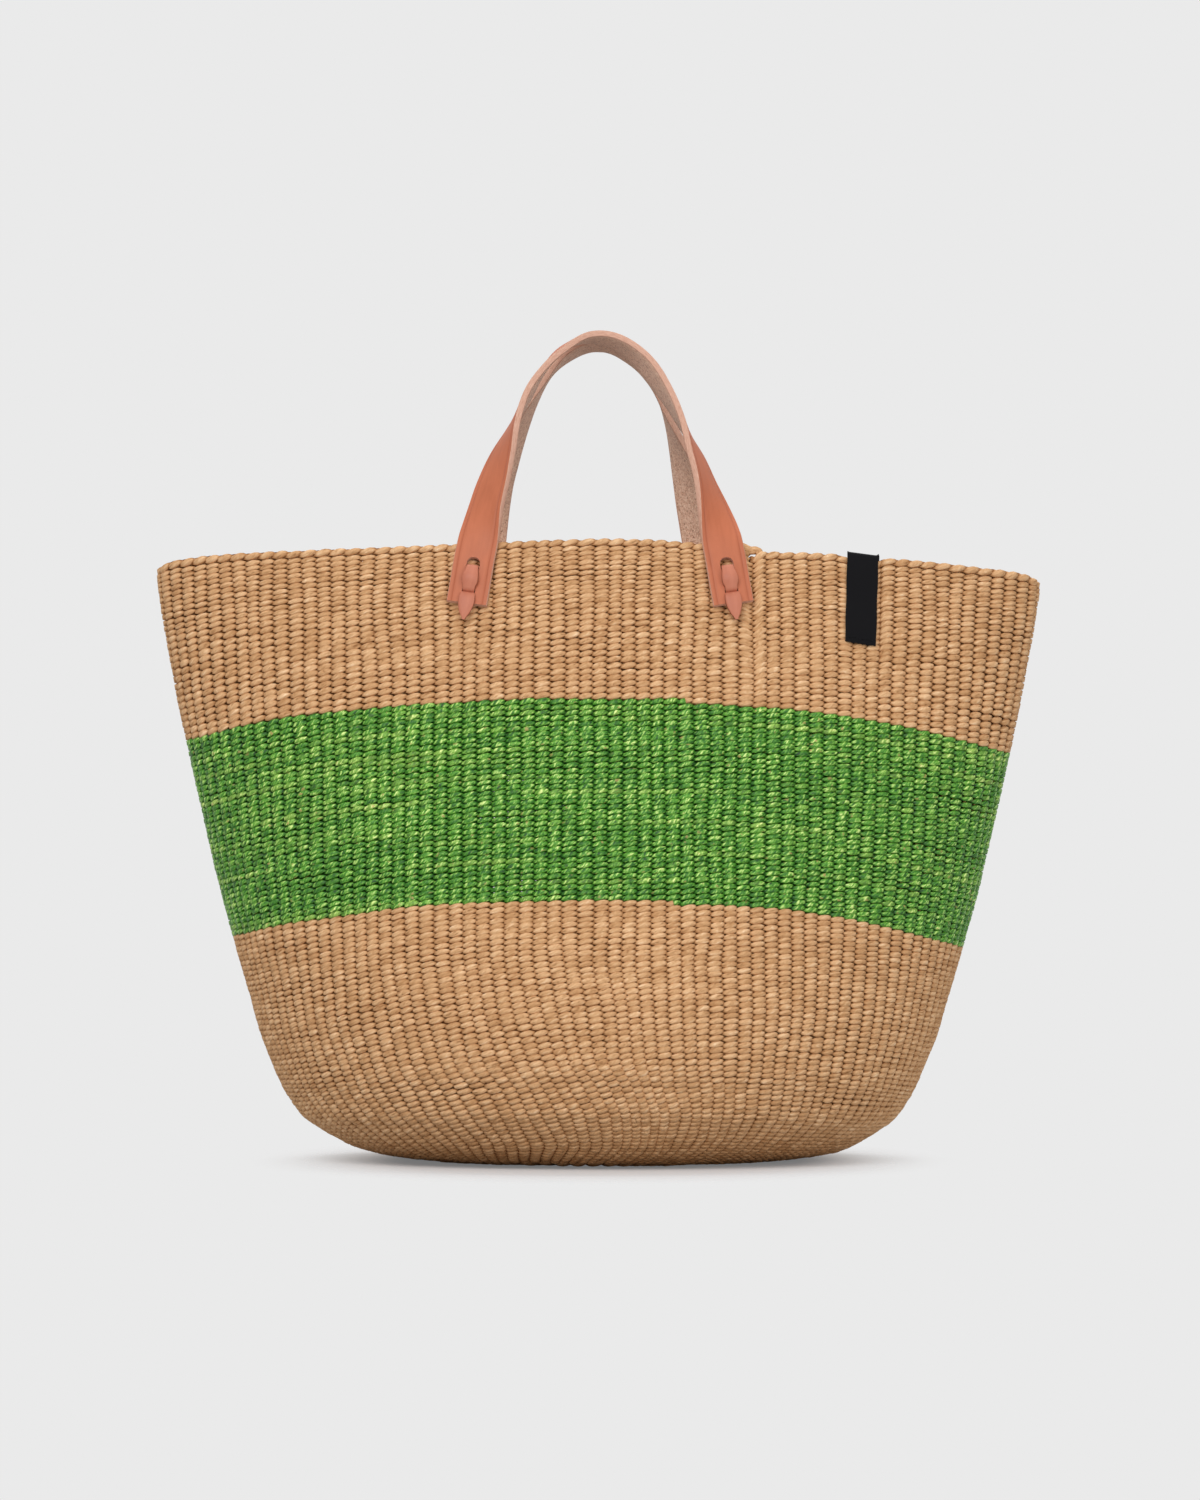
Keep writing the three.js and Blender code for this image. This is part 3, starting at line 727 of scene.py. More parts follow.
def grain_leather(name, light, dark):
    f = Finish(name)
    pores = f.noise(f.coordinates((1.6, 1.6, 1)), 4.0, 0.6)
    clouds = f.noise(f.coordinates((0.05, 0.11, 1)), 3.0, 0.55, 0.6)
    streaks = f.noise(f.coordinates((0.06, 0.5, 1)), 3.0, 0.5, 0.8)
    between = [(a + b) / 2 for a, b in zip(light, dark)]
    colour = f.ramp(f.weighed(clouds, 0.75, streaks), [(0.32, dark), (0.5, between), (0.68, light)])
    colour = f.mix(f.span(f.attribute("edge"), 0, 1, 0, 0.35), colour, srgb(140, 70, 48))
    normal = f.bump(pores, 0.00012, 0.35)
    normal = f.bump(streaks, 0.0002, 0.3, normal)
    return f.finish(colour, f.span(clouds, 0.3, 0.7, 0.5, 0.62), normal, 0.4)


def flesh_leather():
    f = Finish("flesh_side_look")
    fuzz = f.noise(f.coordinates((1.3, 1.3, 1)), 5.0, 0.7, 0.4)
    pits = f.noise(f.coordinates((0.55, 0.75, 1)), 3.0, 0.6, 0.8)
    colour = f.ramp(f.weighed(fuzz, 0.6, pits), [
        (0.36, srgb(148, 106, 86)), (0.47, srgb(230, 183, 157)), (0.58, srgb(250, 215, 191)),
    ])
    normal = f.bump(pits, 0.0006, 0.6)
    normal = f.bump(fuzz, 0.0004, 0.7, normal)
    return f.finish(colour, 0.95, normal, 0.1, 0.2)


def cut_edge(name, dark, light):
    f = Finish(name)
    lines = f.noise(f.coordinates((0.3, 4, 1)), 3.0, 0.6)
    return f.finish(f.ramp(lines, [(0.3, dark), (0.6, light)]), 0.8, f.bump(lines, 0.0002, 0.4), 0.2)


def label_cloth():
    f = Finish("label_cloth_look")
    threads = f.noise(f.coordinates((2.2, 6, 1)), 2.0, 0.6)
    ribs = f.node("ShaderNodeTexWave", {"Vector": f.coordinates((1, 1, 1)), "Scale": 1.1, "Distortion": 0.4},
                  bands_direction="Y")["Fac"]
    level = f.weighed(threads, 0.7, ribs)
    colour = f.ramp(level, [(0.3, srgb(6, 6, 8)), (0.7, srgb(22, 21, 24))])
    return f.finish(colour, 0.9, f.bump(level, 0.0002, 0.5), 0.15, 0.04)


NATURAL = natural_yarn()
GREEN = green_yarn()
GRAIN = grain_leather("strap_grain_look", srgb(199, 114, 79), srgb(184, 102, 67))
LACE_GRAIN = grain_leather("lace_grain_look", srgb(208, 132, 104), srgb(186, 109, 83))
FLESH = flesh_leather()
EDGE = cut_edge("cut_edge_look", srgb(192, 140, 118), srgb(222, 178, 156))
LACE_EDGE = cut_edge("lace_edge_look", srgb(104, 52, 36), srgb(168, 102, 80))
LABEL = label_cloth()
# A strip of leather has its grain outside, its flesh side inside and a cut edge between, in this order
GRAIN_SIDE, CUT_SIDE, FLESH_SIDE = 0, 1, 2

# Weave: the turns that part the zones, and each zone's bulge, lift, thickness, tallness and rise
WEAVE_START = 0.6
HEEL_ROW = float(np.interp(along_at_side_height(HEEL_HEIGHT), TURN_ALONGS, TURNS))
CUTS = [
    WEAVE_START,
    math.floor(HEEL_ROW),
    BAND_BOTTOM_ROW + BAND_BOTTOM_JOG / STITCHES,
    BAND_TOP_ROW + BAND_TOP_JOG / STITCHES,
    TOP_ROW + ROPE_END / STITCHES,
    TOP_ROW + 1 + ROPE_END / STITCHES,
]
WEAVES = [
    ("base_twining", "base_weave", "natural_yarn", NATURAL, 1.45, 0.18, 2.5, 1.24, 0),
    ("lower_wall_twining", "lower_wall_weave", "natural_yarn", NATURAL, 1.7, 0.18, 2.5, 1.22, 0),
    ("green_band_twining", "green_band_weave", "green_yarn", GREEN, 1.8, 0.21, 2.4, 1.08, 0),
    ("upper_wall_twining", "upper_wall_weave", "natural_yarn", NATURAL, 1.8, 0.18, 2.5, 1.16, 0),
    ("rim_rope", "rim_braid", "natural_yarn", NATURAL, 1.45, 0.3, 3.2, 1.5, ROPE_RISE),
]
for n, (name, node, slot, material, *shape) in enumerate(WEAVES):
    piece = woven(name, CUTS[n:n + 2], material, *shape)
    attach(piece, "basket")
    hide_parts(node)

WARP_SIDES = 5
WARP_RADIUS = 1.05
WARP_WIDENED = 1.2
WARP_START = 1.5
WARP_END = TOP_ROW + 0.8
WARP_STEP = 1.6
WARP_MAP_PITCH = 2.9
WARP_MAP_SHIFT = 11.3


def warps():
    """The cords that the rows go round, each from where its spokes begin to the rim."""
    parts, start = [], 0
    for k in range(STITCHES):
        share = k / STITCHES
        first = next(row for row in range(TOP_ROW) if k % (STITCHES // int(ROW_COUNTS[row])) == 0)
        turns = np.arange(max(first, WARP_START), WARP_END, WARP_STEP)
        along = along_at(turns + share)
        point, normal, around, _ = surface_frame(along, angle_at(along, np.full(len(turns), share)))
        centre = tilted(point - normal * (WALL_THICKNESS / 2))
        sizes = np.full(len(turns), WARP_RADIUS)
        rings = sweep(centre, normal, around, sizes, sizes * WARP_WIDENED, round_section(WARP_SIDES))
        quads, caps = tube_faces(len(turns), WARP_SIDES, start)
        lengths = turns * WARP_MAP_PITCH + WARP_MAP_SHIFT * k
        uvs = tube_map(lengths, np.arange(WARP_SIDES + 1) / WARP_SIDES)[:, :, ::-1].reshape(-1, 2)
        parts.append((rings.reshape(-1, 3), quads[:, ::-1], caps[:, ::-1], uvs, np.zeros((caps.size, 2))))
        start += len(turns) * WARP_SIDES
    points, quads, caps, uvs, cap_uvs = zip(*parts)
    # A dive of 0.74 gives the cords the yarn's painted shade of a crossing
    return make_mesh("warp_cords", np.concatenate(points), [*quads, *caps], np.concatenate([*uvs, *cap_uvs]),
                     [NATURAL], floats={"tone": np.full(start, 0.5), "dive": np.full(start, 0.74)})


warp_cords = warps()
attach(warp_cords, "basket")


# Straps
def wall_place(x, y_sign, height):
    """The wall's frame at a width and a height on the front or the back, found by halving."""
    low, high = along_at_side_height(BAND_TOP_HEIGHT), 1.0
    for _ in range(40):
        middle = (low + high) / 2
        if surface(middle, wall_angle(x, y_sign, middle))[2] < height:
            low = middle
        else:
            high = middle
    along = (low + high) / 2
    return surface_frame(np.array(along), np.array(wall_angle(x, y_sign, along)))


def wall_angle(x, y_sign, along):
    return y_sign * math.acos(x / even_line(STATIONS, np.array(along))[0])


def turned(vector, axis, angle):
    """vector turned about axis."""
    c, s = math.cos(angle), math.sin(angle)
    return vector * c + np.cross(axis, vector) * s + axis * (axis @ vector) * (1 - c)


def bezier(controls, t):
    return (controls[0] * (1 - t) ** 3 + controls[1] * 3 * t * (1 - t) ** 2
            + controls[2] * 3 * t**2 * (1 - t) + controls[3] * t**3)


class StrapFoot:
    """The foot of a strap: down runs along the strap, out away from the wall and across over its width."""

    def __init__(self, shape, side_sign):
        x = shape["shift"] + side_sign * shape["leg_offset"]
        point, self.out, _, _ = wall_place(x, shape["y_sign"], FLEX_HEIGHT)
        level = np.array((0, 0, -1.0))
        down = unit(level - self.out * (level @ self.out))
        self.down = turned(down, self.out, LEG_TILT * side_sign * -shape["y_sign"])
        self.across = np.cross(self.out, self.down)
        self.origin = point + self.out * (FIT_GAP + STRAP_THICKNESS / 2)

    def at(self, across, down, out):
        across, down, out = (np.asarray(v, float)[..., None] for v in (across, down, out))
        return self.origin + self.across * across + self.down * down + self.out * out


STRAP_STEP = 1.5
ARCH_STEPS = 400
BEND_REACH = 6
BEND_PASSES = 6


class Handle:
    """The arch of a handle, and its two feet."""

    def __init__(self, shape):
        self.shape = shape
        self.name = shape["name"]
        self.left = StrapFoot(shape, -1)
        self.right = StrapFoot(shape, 1)
        self.origin = (self.left.origin + self.right.origin) / 2
        reach = STRAP_WIDTH * math.cos(APEX_TILT) + STRAP_THICKNESS * math.sin(APEX_TILT) + FLEX_GAP
        lean = math.asin((abs(self.origin[1]) - reach / 2) / shape["height"])
        self.up = np.array((0, -shape["y_sign"] * math.sin(lean), math.cos(lean)))
        self.out = np.array((0, shape["y_sign"] * math.cos(lean), math.sin(lean)))
        self.foot_turn = math.degrees(math.asin(abs(self.left.out[0])))

    def half(self, share):
        """Place and tangent on the left half of the arch, by share of its length, and that length."""
        leg, height = self.shape["leg_offset"], self.shape["height"]
        rise = self.shape["rise"] * height
        controls = np.array([
            (-leg, 0, 0), (-leg + rise * math.sin(LEG_TILT), 0, rise * math.cos(LEG_TILT)),
            (-self.shape["level"] * leg, 0, height), (0, 0, height),
        ])
        t = np.linspace(0, 1, ARCH_STEPS)[:, None]
        lengths = path_lengths(bezier(controls, t))
        t = np.interp(share, lengths / lengths[-1], t[:, 0])[:, None]
        tangent = unit((controls[1] - controls[0]) * (1 - t) ** 2
                       + (controls[2] - controls[1]) * 2 * t * (1 - t)
                       + (controls[3] - controls[2]) * t**2)
        return bezier(controls, t), tangent, lengths[-1]

    def to_frame(self, flat):
        return flat @ np.stack([np.array((1.0, 0, 0)), self.out, self.up])

    def centreline(self):
        """Centres and face normals of the whole strap, from the left end to the right end."""
        _, _, length = self.half(np.array([0.0]))
        shares = np.linspace(0, 1, int(length / STRAP_STEP) + 1)
        place, tangent, length = self.half(shares)
        outside = np.stack([-tangent[:, 2], tangent[:, 1], tangent[:, 0]], -1)
        straight = ARCH_STRAIGHT / length
        twisted = np.maximum(0, (shares - straight) / (1 - straight))
        sides = []
        for side in ("left", "right"):
            turn = np.radians(even_line([self.foot_turn, *self.shape[side]], twisted))
            flat = np.stack([np.zeros(len(turn)), np.cos(turn), np.zeros(len(turn))], -1)
            sides.append(flat + outside * np.sin(turn)[:, None])
        mirror = np.array((-1.0, 1, 1))
        centres = np.vstack([place, (place * mirror)[-2::-1]])
        away = np.concatenate([shares, shares[-2::-1]])
        centres[:, 0] += self.shape["apex_shift"] * away**2
        centres = self.origin + self.to_frame(centres)
        faces = self.to_frame(np.vstack([sides[0], (sides[1] * mirror)[-2::-1]]))
        downs = np.arange(TAB_LENGTH, 0.4 * STRAP_STEP, -STRAP_STEP)
        feet = len(downs)
        centres = np.vstack([self.left.at(0, downs, 0), centres, self.right.at(0, downs[::-1], 0)])
        faces = np.vstack([np.tile(self.left.out, (feet, 1)), faces, np.tile(self.right.out, (feet, 1))])
        reach = int(BEND_REACH / STRAP_STEP)
        for flex in (feet, len(centres) - feet - 1):
            start, end = flex - reach, flex + reach + 1
            for _ in range(BEND_PASSES):
                for array in (centres, faces):
                    array[start:end] = (array[start - 1:end - 1] + array[start + 1:end + 1]
                                        + 2 * array[start:end]) / 4
        return centres, unit(faces)


def mirrored(places):
    return [(-w, h) for w, h in places[::-1]]


def strap_section():
    """Places over the width and the thickness round the strap, and each one's finish and crease mark."""
    half_width, half_thick = STRAP_WIDTH / 2, STRAP_THICKNESS / 2
    crease = half_width - 2.4
    widths = [half_width - 0.35, half_width - 1.2, crease + 0.3, crease, crease - 0.3, crease - 1.4, 4.0, 0.0]
    depths = [-0.06, 0, -0.02, -0.2, -0.02, 0, 0.03, 0.04]
    top = [(w, half_thick + d) for w, d in zip(widths, depths)]
    top = top + mirrored(top[:-1])
    edge = [(half_width - 0.12, -half_thick + 0.35), (half_width, -half_thick + 0.9),
            (half_width, half_thick - 0.8)]
    flesh = [(w, -half_thick) for w in (-half_width + 0.7, -5.0, 0.0, 5.0, half_width - 0.7)]
    section = edge + top + mirrored(edge) + flesh
    finishes = [CUT_SIDE] * 3 + [GRAIN_SIDE] * (len(top) - 1) + [CUT_SIDE] * 4 + [FLESH_SIDE] * 4 + [CUT_SIDE]
    creases = [0] * 3 + [0, 0.1, 0.5, 1, 0.5, 0, 0, 0, 0, 0, 0.5, 1, 0.5, 0.1, 0] + [0] * 8
    return np.array(section), finishes, creases


def strap(handle):
    """A handle's strap in one piece, its edges a little uneven."""
    centres, faces = handle.centreline()
    section, finishes, creases = strap_section()
    tangent = unit(np.gradient(centres, axis=0))
    faces = square_to(faces, tangent)
    across = np.cross(tangent, faces)
    count, sides = len(centres), len(section)
    waves = np.random.default_rng(23).uniform(-0.12, 0.12, 40)
    wave = np.interp(np.arange(count), np.linspace(0, count, len(waves)), waves)
    ones = np.ones(count)
    rings = sweep(centres, across, faces, ones, ones, section) + across[:, None, :] * wave[:, None, None]
    quads, _ = tube_faces(count, sides, 0)
    ring = np.arange(sides)
    end_caps = [ring[None, ::-1], (ring + (count - 1) * sides)[None, :]]
    strap_map = tube_map(path_lengths(centres), path_lengths(np.vstack([section, section[:1]])))
    uvs = np.concatenate([strap_map.reshape(-1, 2), section, section])
    materials = np.concatenate([np.tile(finishes, count - 1), [CUT_SIDE] * 2])
    return make_mesh(f"{handle.name}_handle_strap", rings.reshape(-1, 3), [quads, *end_caps], uvs,
                     [GRAIN, EDGE, FLESH], materials, {"edge": np.tile(creases, count)})


# Each lace hole's top and bottom below the flex line, half width and corner radius
HOLES = [(2.9, 9.0, 3.4, 3.2), (19.2, 23.3, 3.35, 1.2)]
HOLE_CUT = 4.0
HOLE_LOW_CORNER = 0.8


def hole_outline(top, bottom, half_width, corner):
    """A hole's outline over the strap's width and down its length, with a rounded top."""
    turns = np.linspace(0, math.pi / 2, 7)
    small = min(corner, HOLE_LOW_CORNER)
    right = [(half_width - corner + corner * math.sin(t), top + corner - corner * math.cos(t)) for t in turns]
    right += [(half_width - small + small * math.cos(t), bottom - small + small * math.sin(t)) for t in turns]
    return right + mirrored(right)


def cut_holes(piece, feet):
    """Cuts each foot's two lace holes through a strap."""
    points, faces, start = [], [], 0
    for foot in feet:
        for hole in HOLES:
            across, down = np.array(hole_outline(*hole)).T
            count = len(across)
            points += [foot.at(across, down, np.full(count, out)) for out in (-HOLE_CUT, HOLE_CUT)]
            ring = np.arange(count)
            after = (ring + 1) % count
            faces.append(start + np.stack([ring, after, count + after, count + ring], -1))
            faces += [start + ring[None, ::-1], start + count + ring[None, :]]
            start += 2 * count
    uvs = np.random.default_rng(31).uniform(0, 20, (sum(f.size for f in faces), 2))
    sides = np.full(sum(len(f) for f in faces), CUT_SIDE)
    cutter = make_mesh("hole_cutter", np.concatenate(points), faces, uvs, [GRAIN, EDGE, FLESH], sides)
    cutter.data.update()
    modifier = piece.modifiers.new("holes", "BOOLEAN")
    modifier.operation = "DIFFERENCE"
    modifier.object = cutter
    bpy.context.view_layer.update()
    cut = bpy.data.meshes.new_from_object(piece.evaluated_get(bpy.context.evaluated_depsgraph_get()))
    piece.modifiers.clear()
    piece.data = cut
    cut.set_sharp_from_angle(angle=math.radians(38))
    bpy.data.objects.remove(cutter)


HANDLES = [Handle(shape) for shape in HANDLE_SHAPES]
for handle in HANDLES:
    piece = strap(handle)
    cut_holes(piece, [handle.left, handle.right])
    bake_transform(piece)
    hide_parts(f"{handle.name}_handle_loop", f"{handle.name}_left_strap_tab",
                f"{handle.name}_right_strap_tab")


# Leather laces: the section as shares of the width and the thickness, and the finish of each of its sides
STRIP_SECTION = np.array([
    (-0.5, 0.05), (-0.485, 0.34), (-0.42, 0.5), (-0.2, 0.5), (0, 0.5), (0.2, 0.5), (0.42, 0.5), (0.485, 0.34),
    (0.5, 0.05), (0.5, -0.36), (0.45, -0.5), (0, -0.5), (-0.45, -0.5), (-0.5, -0.36),
])
STRIP_FINISHES = [CUT_SIDE, *[GRAIN_SIDE] * 6, CUT_SIDE, CUT_SIDE, *[FLESH_SIDE] * 4, CUT_SIDE]
STRIP_GIRTH = path_lengths(np.vstack([STRIP_SECTION, STRIP_SECTION[:1]]) * (8, 2))
STRIP_CROWNED = 0.2
LACE_TOP = UPPER_HOLE_DROP + 2.9
LACE_BOTTOM = LOWER_HOLE_DROP + 0.2
LACE_SHOULDER = 6.4
LACE_BEND = 1.9
LACE_SWELL = 0.35
LACE_BOW = 0.1
TIP_WIDTHS = np.array([
    (0, 0.7), (0.07, 0.8), (0.14, 0.9), (0.24, 0.97), (0.34, 1), (0.44, 1), (0.53, 0.96), (0.62, 0.87),
    (0.72, 0.76), (0.82, 0.61), (0.91, 0.43), (1, 0.2),
])
TIP_CROWNS = np.array([(0.1, 0), (0.4, 1), (0.9, 0.2)])
TIP_KNOTS = np.array([
    (22.0, -1.4), (22.0, 0.5), (22.3, 1.75), (23.2, 2.55), (24.8, 2.85), (27.9, 2.9), (31.0, 2.75),
    (33.9, 2.4), (36.2, 1.9),
])


def strip(foot, steps, closed, start):
    """Points, faces, map and finishes of a strip of leather.

    Each of its steps is a place down and out from a foot, a normal down and out, a width and a crown.
    """
    count, sides = len(steps), len(STRIP_SECTION)
    path = steps[:, :2]
    w, h = STRIP_SECTION.T
    lift = h * LACE_THICKNESS + (h > STRIP_CROWNED) * steps[:, 5:] * (1 - (2 * w) ** 2)
    down, out = (path[:, [i]] + steps[:, [2 + i]] * lift for i in (0, 1))
    points = foot.at(w * steps[:, 4:5], down, out)
    quads, caps = tube_faces(count, sides, start)
    lengths = path_lengths(path)
    if closed:
        side = np.arange(sides)
        last, after = (count - 1) * sides, (side + 1) % sides
        quads = np.vstack([quads, np.stack([last + side, last + after, after, side], -1) + start])
        lengths = np.append(lengths, lengths[-1] + np.linalg.norm(path[-1] - path[0]))
    uvs = tube_map(lengths, STRIP_GIRTH).reshape(-1, 2)
    finishes = list(np.tile(STRIP_FINISHES, len(lengths) - 1))
    if closed:
        return points.reshape(-1, 3), [quads], uvs, finishes
    uvs = np.vstack([uvs, np.zeros((caps.size, 2)) + (3, 5)])
    return points.reshape(-1, 3), [quads, caps], uvs, finishes + [CUT_SIDE] * len(caps)


def lace_loop():
    """Steps of the lace's closed loop through both holes and the wall."""
    front = STRAP_THICKNESS / 2 + FIT_GAP + LACE_THICKNESS / 2
    back = -STRAP_THICKNESS / 2 - WALL_THICKNESS - 2 * FIT_GAP - LACE_THICKNESS / 2
    top, bottom = LACE_TOP + LACE_BEND, LACE_BOTTOM - LACE_BEND
    corners = [(top, front - LACE_BEND), (bottom, front - LACE_BEND), (bottom, back + LACE_BEND),
               (top, back + LACE_BEND)]
    straights = {0: (1, front, top, bottom, LACE_CROWN + 0.5), 2: (-1, back, bottom, top, LACE_BOW)}
    steps = []
    for n, middle in enumerate(corners):
        for share in np.linspace(0, 1, 6):
            turn = math.pi - n * math.pi / 2 - share * math.pi / 2
            c, s = math.cos(turn), math.sin(turn)
            on_face = share if n in straights else 1 - share
            width = LACE_NECK_WIDTH + (LACE_SHOULDER - LACE_NECK_WIDTH) * on_face
            place = (middle[0] + LACE_BEND * c, middle[1] + LACE_BEND * s)
            steps.append((*place, c, s, width, LACE_SWELL * on_face))
        if n in straights:
            sign, level, begin, end, bow = straights[n]
            for share in np.linspace(0, 1, 8)[1:-1]:
                out = level + sign * (math.sin(share * math.pi) * bow)
                width = LACE_SHOULDER + (LACE_WIDTH - LACE_SHOULDER) * math.sin(share**1.5 * math.pi) ** 0.8
                crown = LACE_SWELL + LACE_SWELL * math.sin(share * math.pi)
                steps.append((begin + (end - begin) * share, out, 0, sign, width, crown))
    return np.array(steps)


def lace_tip():
    """Steps of the lace's leaf tip, out of the lower hole and down the strap."""
    lengths = path_lengths(TIP_KNOTS)
    places = np.linspace(0, lengths[-1], 26)
    tip = np.column_stack([np.interp(places, lengths, knots) for knots in TIP_KNOTS.T])
    tip[1:-1] = (tip[:-2] + tip[2:] + 2 * tip[1:-1]) / 4
    tangent = unit(np.gradient(tip, axis=0))
    first = LOWER_HOLE_DROP - LACE_THICKNESS / 2 + 1.3
    shares = np.clip((tip[:, 0] - first) / LACE_TIP_LENGTH, 0, 1)
    widths = LACE_WIDTH * np.interp(shares, *TIP_WIDTHS.T)
    crowns = 0.3 * np.interp(shares, *TIP_CROWNS.T)
    return np.column_stack([tip, -tangent[:, 1], tangent[:, 0], widths, crowns])


LOOP_STEPS = lace_loop()
TIP_STEPS = lace_tip()


def lace(name, foot):
    """The lace's loop through both holes and the wall, and its leaf tip below the lower hole."""
    points, faces, uvs, finishes = strip(foot, LOOP_STEPS, True, 0)
    tip_points, tip_faces, tip_uvs, tip_finishes = strip(foot, TIP_STEPS, False, len(points))
    return make_mesh(name, np.vstack([points, tip_points]), faces + tip_faces, np.vstack([uvs, tip_uvs]),
                     [LACE_GRAIN, LACE_EDGE, FLESH], finishes + tip_finishes)


for handle in HANDLES:
    for side, foot in (("left", handle.left), ("right", handle.right)):
        piece = lace(f"{handle.name}_{side}_lace_strip", foot)
        piece.data.set_sharp_from_angle(angle=math.radians(50))
        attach(piece, "basket")
        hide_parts(f"{handle.name}_{side}_lace")

# Label
LABEL_CLOTH = 0.55
LABEL_OUTSIDE = LABEL_GAP + LABEL_THICKNESS / 2
LABEL_INSIDE = -WALL_THICKNESS - LABEL_GAP - LABEL_THICKNESS / 2
LABEL_HANG = (2.6, 46)
LABEL_COLUMNS = 15
LABEL_SLIP = 1.2
LABEL_SKEW = 2.2
HEM = 4.5
HEM_SINK = 0.35
HEM_RADIUS = 0.33
HEM_STEPS = (0, 1.2, 2.4, 3.6)
# Waves of the cloth: how high, and how far each turns in a millimetre
OUTER_WAVE = (0.18, 0.21)
INNER_WAVE = (0.15, 0.19)
EDGE_WAVE = (0.012, 0.31)
RAGGED = (-0.3, 0.45)
RAGGED_REACH = 3.4
SEWING_DROP = 2.5
SEWING_STITCHES = 6
SEWING_HALF_WIDTH = 5.6
SEWING_HALF_STITCH = 0.78
FRAYED_ENDS = 16
FRAY_DROP = 0.7
FRAY_HALF_WIDTH = 7.6


def label_place(across, down, out):
    """A place on the label: down is measured from the rim, and above it runs on straight up."""
    across, down, out = np.broadcast_arrays(*(np.asarray(v, float) for v in (across, down, out)))
    along = np.interp(SIDE_LENGTH[-1] - np.maximum(down, 0), SIDE_LENGTH, ALONGS)
    x = LABEL_OFFSET - down * math.sin(LABEL_TILT)
    point, normal, around, up = surface_frame(along, -np.arccos(x / even_line(STATIONS, along)[..., 0]))
    above = np.maximum(-down, 0)
    return tilted(point + around * across[..., None] + normal * out[..., None] + up * above[..., None])


def arc(down, out, radius, first, last):
    """Places and normals, down and out, on an arc of the label's path about a centre."""
    turns = [(math.cos(t), math.sin(t)) for t in np.radians(np.linspace(first, last, 7))]
    return [(down + radius * c, out + radius * s, c, s) for c, s in turns]


def label_path():
    """Places and normals along the cloth from its turned-in end outside, over the rim, to that inside."""
    fold_start = LABEL_FOLD_RADIUS - FIT_GAP - LABEL_THICKNESS / 2
    hem_end = LABEL_LENGTH - 0.5
    hem_out, hem_in = LABEL_OUTSIDE - HEM_SINK, LABEL_INSIDE + HEM_SINK
    path = [(LABEL_LENGTH - HEM + i, hem_out - HEM_RADIUS, 0, -1) for i in HEM_STEPS]
    path += arc(hem_end, hem_out, HEM_RADIUS, -90, 90)
    high, turn = OUTER_WAVE
    path += [(d, LABEL_OUTSIDE + high * math.sin(d * turn), 0, 1) for d in np.linspace(*LABEL_HANG[::-1], 32)]
    path += arc(fold_start, LABEL_OUTSIDE - LABEL_FOLD_RADIUS, LABEL_FOLD_RADIUS, 90, 180)
    path += arc(fold_start, LABEL_INSIDE + LABEL_FOLD_RADIUS, LABEL_FOLD_RADIUS, 180, 270)
    high, turn = INNER_WAVE
    path += [(d, LABEL_INSIDE - high * math.sin(d * turn), 0, -1) for d in np.linspace(*LABEL_HANG, 32)]
    path += arc(hem_end, hem_in, HEM_RADIUS, -90, 90)
    path += [(LABEL_LENGTH - 0.9 - i, hem_in + HEM_RADIUS, 0, 1) for i in HEM_STEPS]
    path = np.array(path)
    outside = np.arange(len(path)) < len(path) / 2
    path[:, 0] += np.where(outside, LABEL_SLIP, -LABEL_SLIP) * ramp(path[:, 0], 2, 20)
    return path


def label():
    """The folded cloth: a ring round its outer and inner face at each step of its path, with ragged ends."""
    path = label_path()
    count, sides = len(path), 2 * LABEL_COLUMNS
    half = np.linspace(-0.5, 0.5, LABEL_COLUMNS) * LABEL_WIDTH
    across = np.concatenate([half, half[::-1]])
    face = np.repeat([1, -1], LABEL_COLUMNS)
    down = path[:, :1] + path[:, 2:3] * face * LABEL_CLOTH / 2
    out = path[:, 1:2] + path[:, 3:] * face * LABEL_CLOTH / 2
    ragged = np.random.default_rng(41).uniform(*RAGGED, LABEL_COLUMNS)
    down = down + (down > LABEL_LENGTH - RAGGED_REACH) * np.concatenate([ragged, ragged[::-1]])
    skew = LABEL_SKEW * np.clip((LABEL_OUTSIDE - out) / (LABEL_OUTSIDE - LABEL_INSIDE), 0, 1)
    waved = across * (1 - EDGE_WAVE[0] * np.sin(path[:, :1] * EDGE_WAVE[1]))
    points = label_place(waved + skew, down, out).reshape(-1, 3)
    quads, _ = tube_faces(count, sides, 0)
    ends = []
    for ring in (0, (count - 1) * sides):
        left = ring + np.arange(LABEL_COLUMNS - 1)
        right = ring + sides - 1 - np.arange(LABEL_COLUMNS - 1)
        end = np.stack([left, left + 1, right - 1, right], -1)
        ends.append(end if ring == 0 else end[:, ::-1])
    cloth_map = tube_map(path_lengths(path[:, :2]), np.append(across, across[0]))
    uvs = np.vstack([cloth_map[:, :, ::-1, ::-1].reshape(-1, 2), np.ones((sum(e.size for e in ends), 2))])
    piece = make_mesh("label_cloth", points, [quads[:, ::-1], *ends], uvs, [LABEL])
    piece.data.set_sharp_from_angle(angle=math.radians(60))
    return piece


THREAD_SIDES = 6
THREAD_RADIUS = 0.22
THREAD_TAPER = 0.55


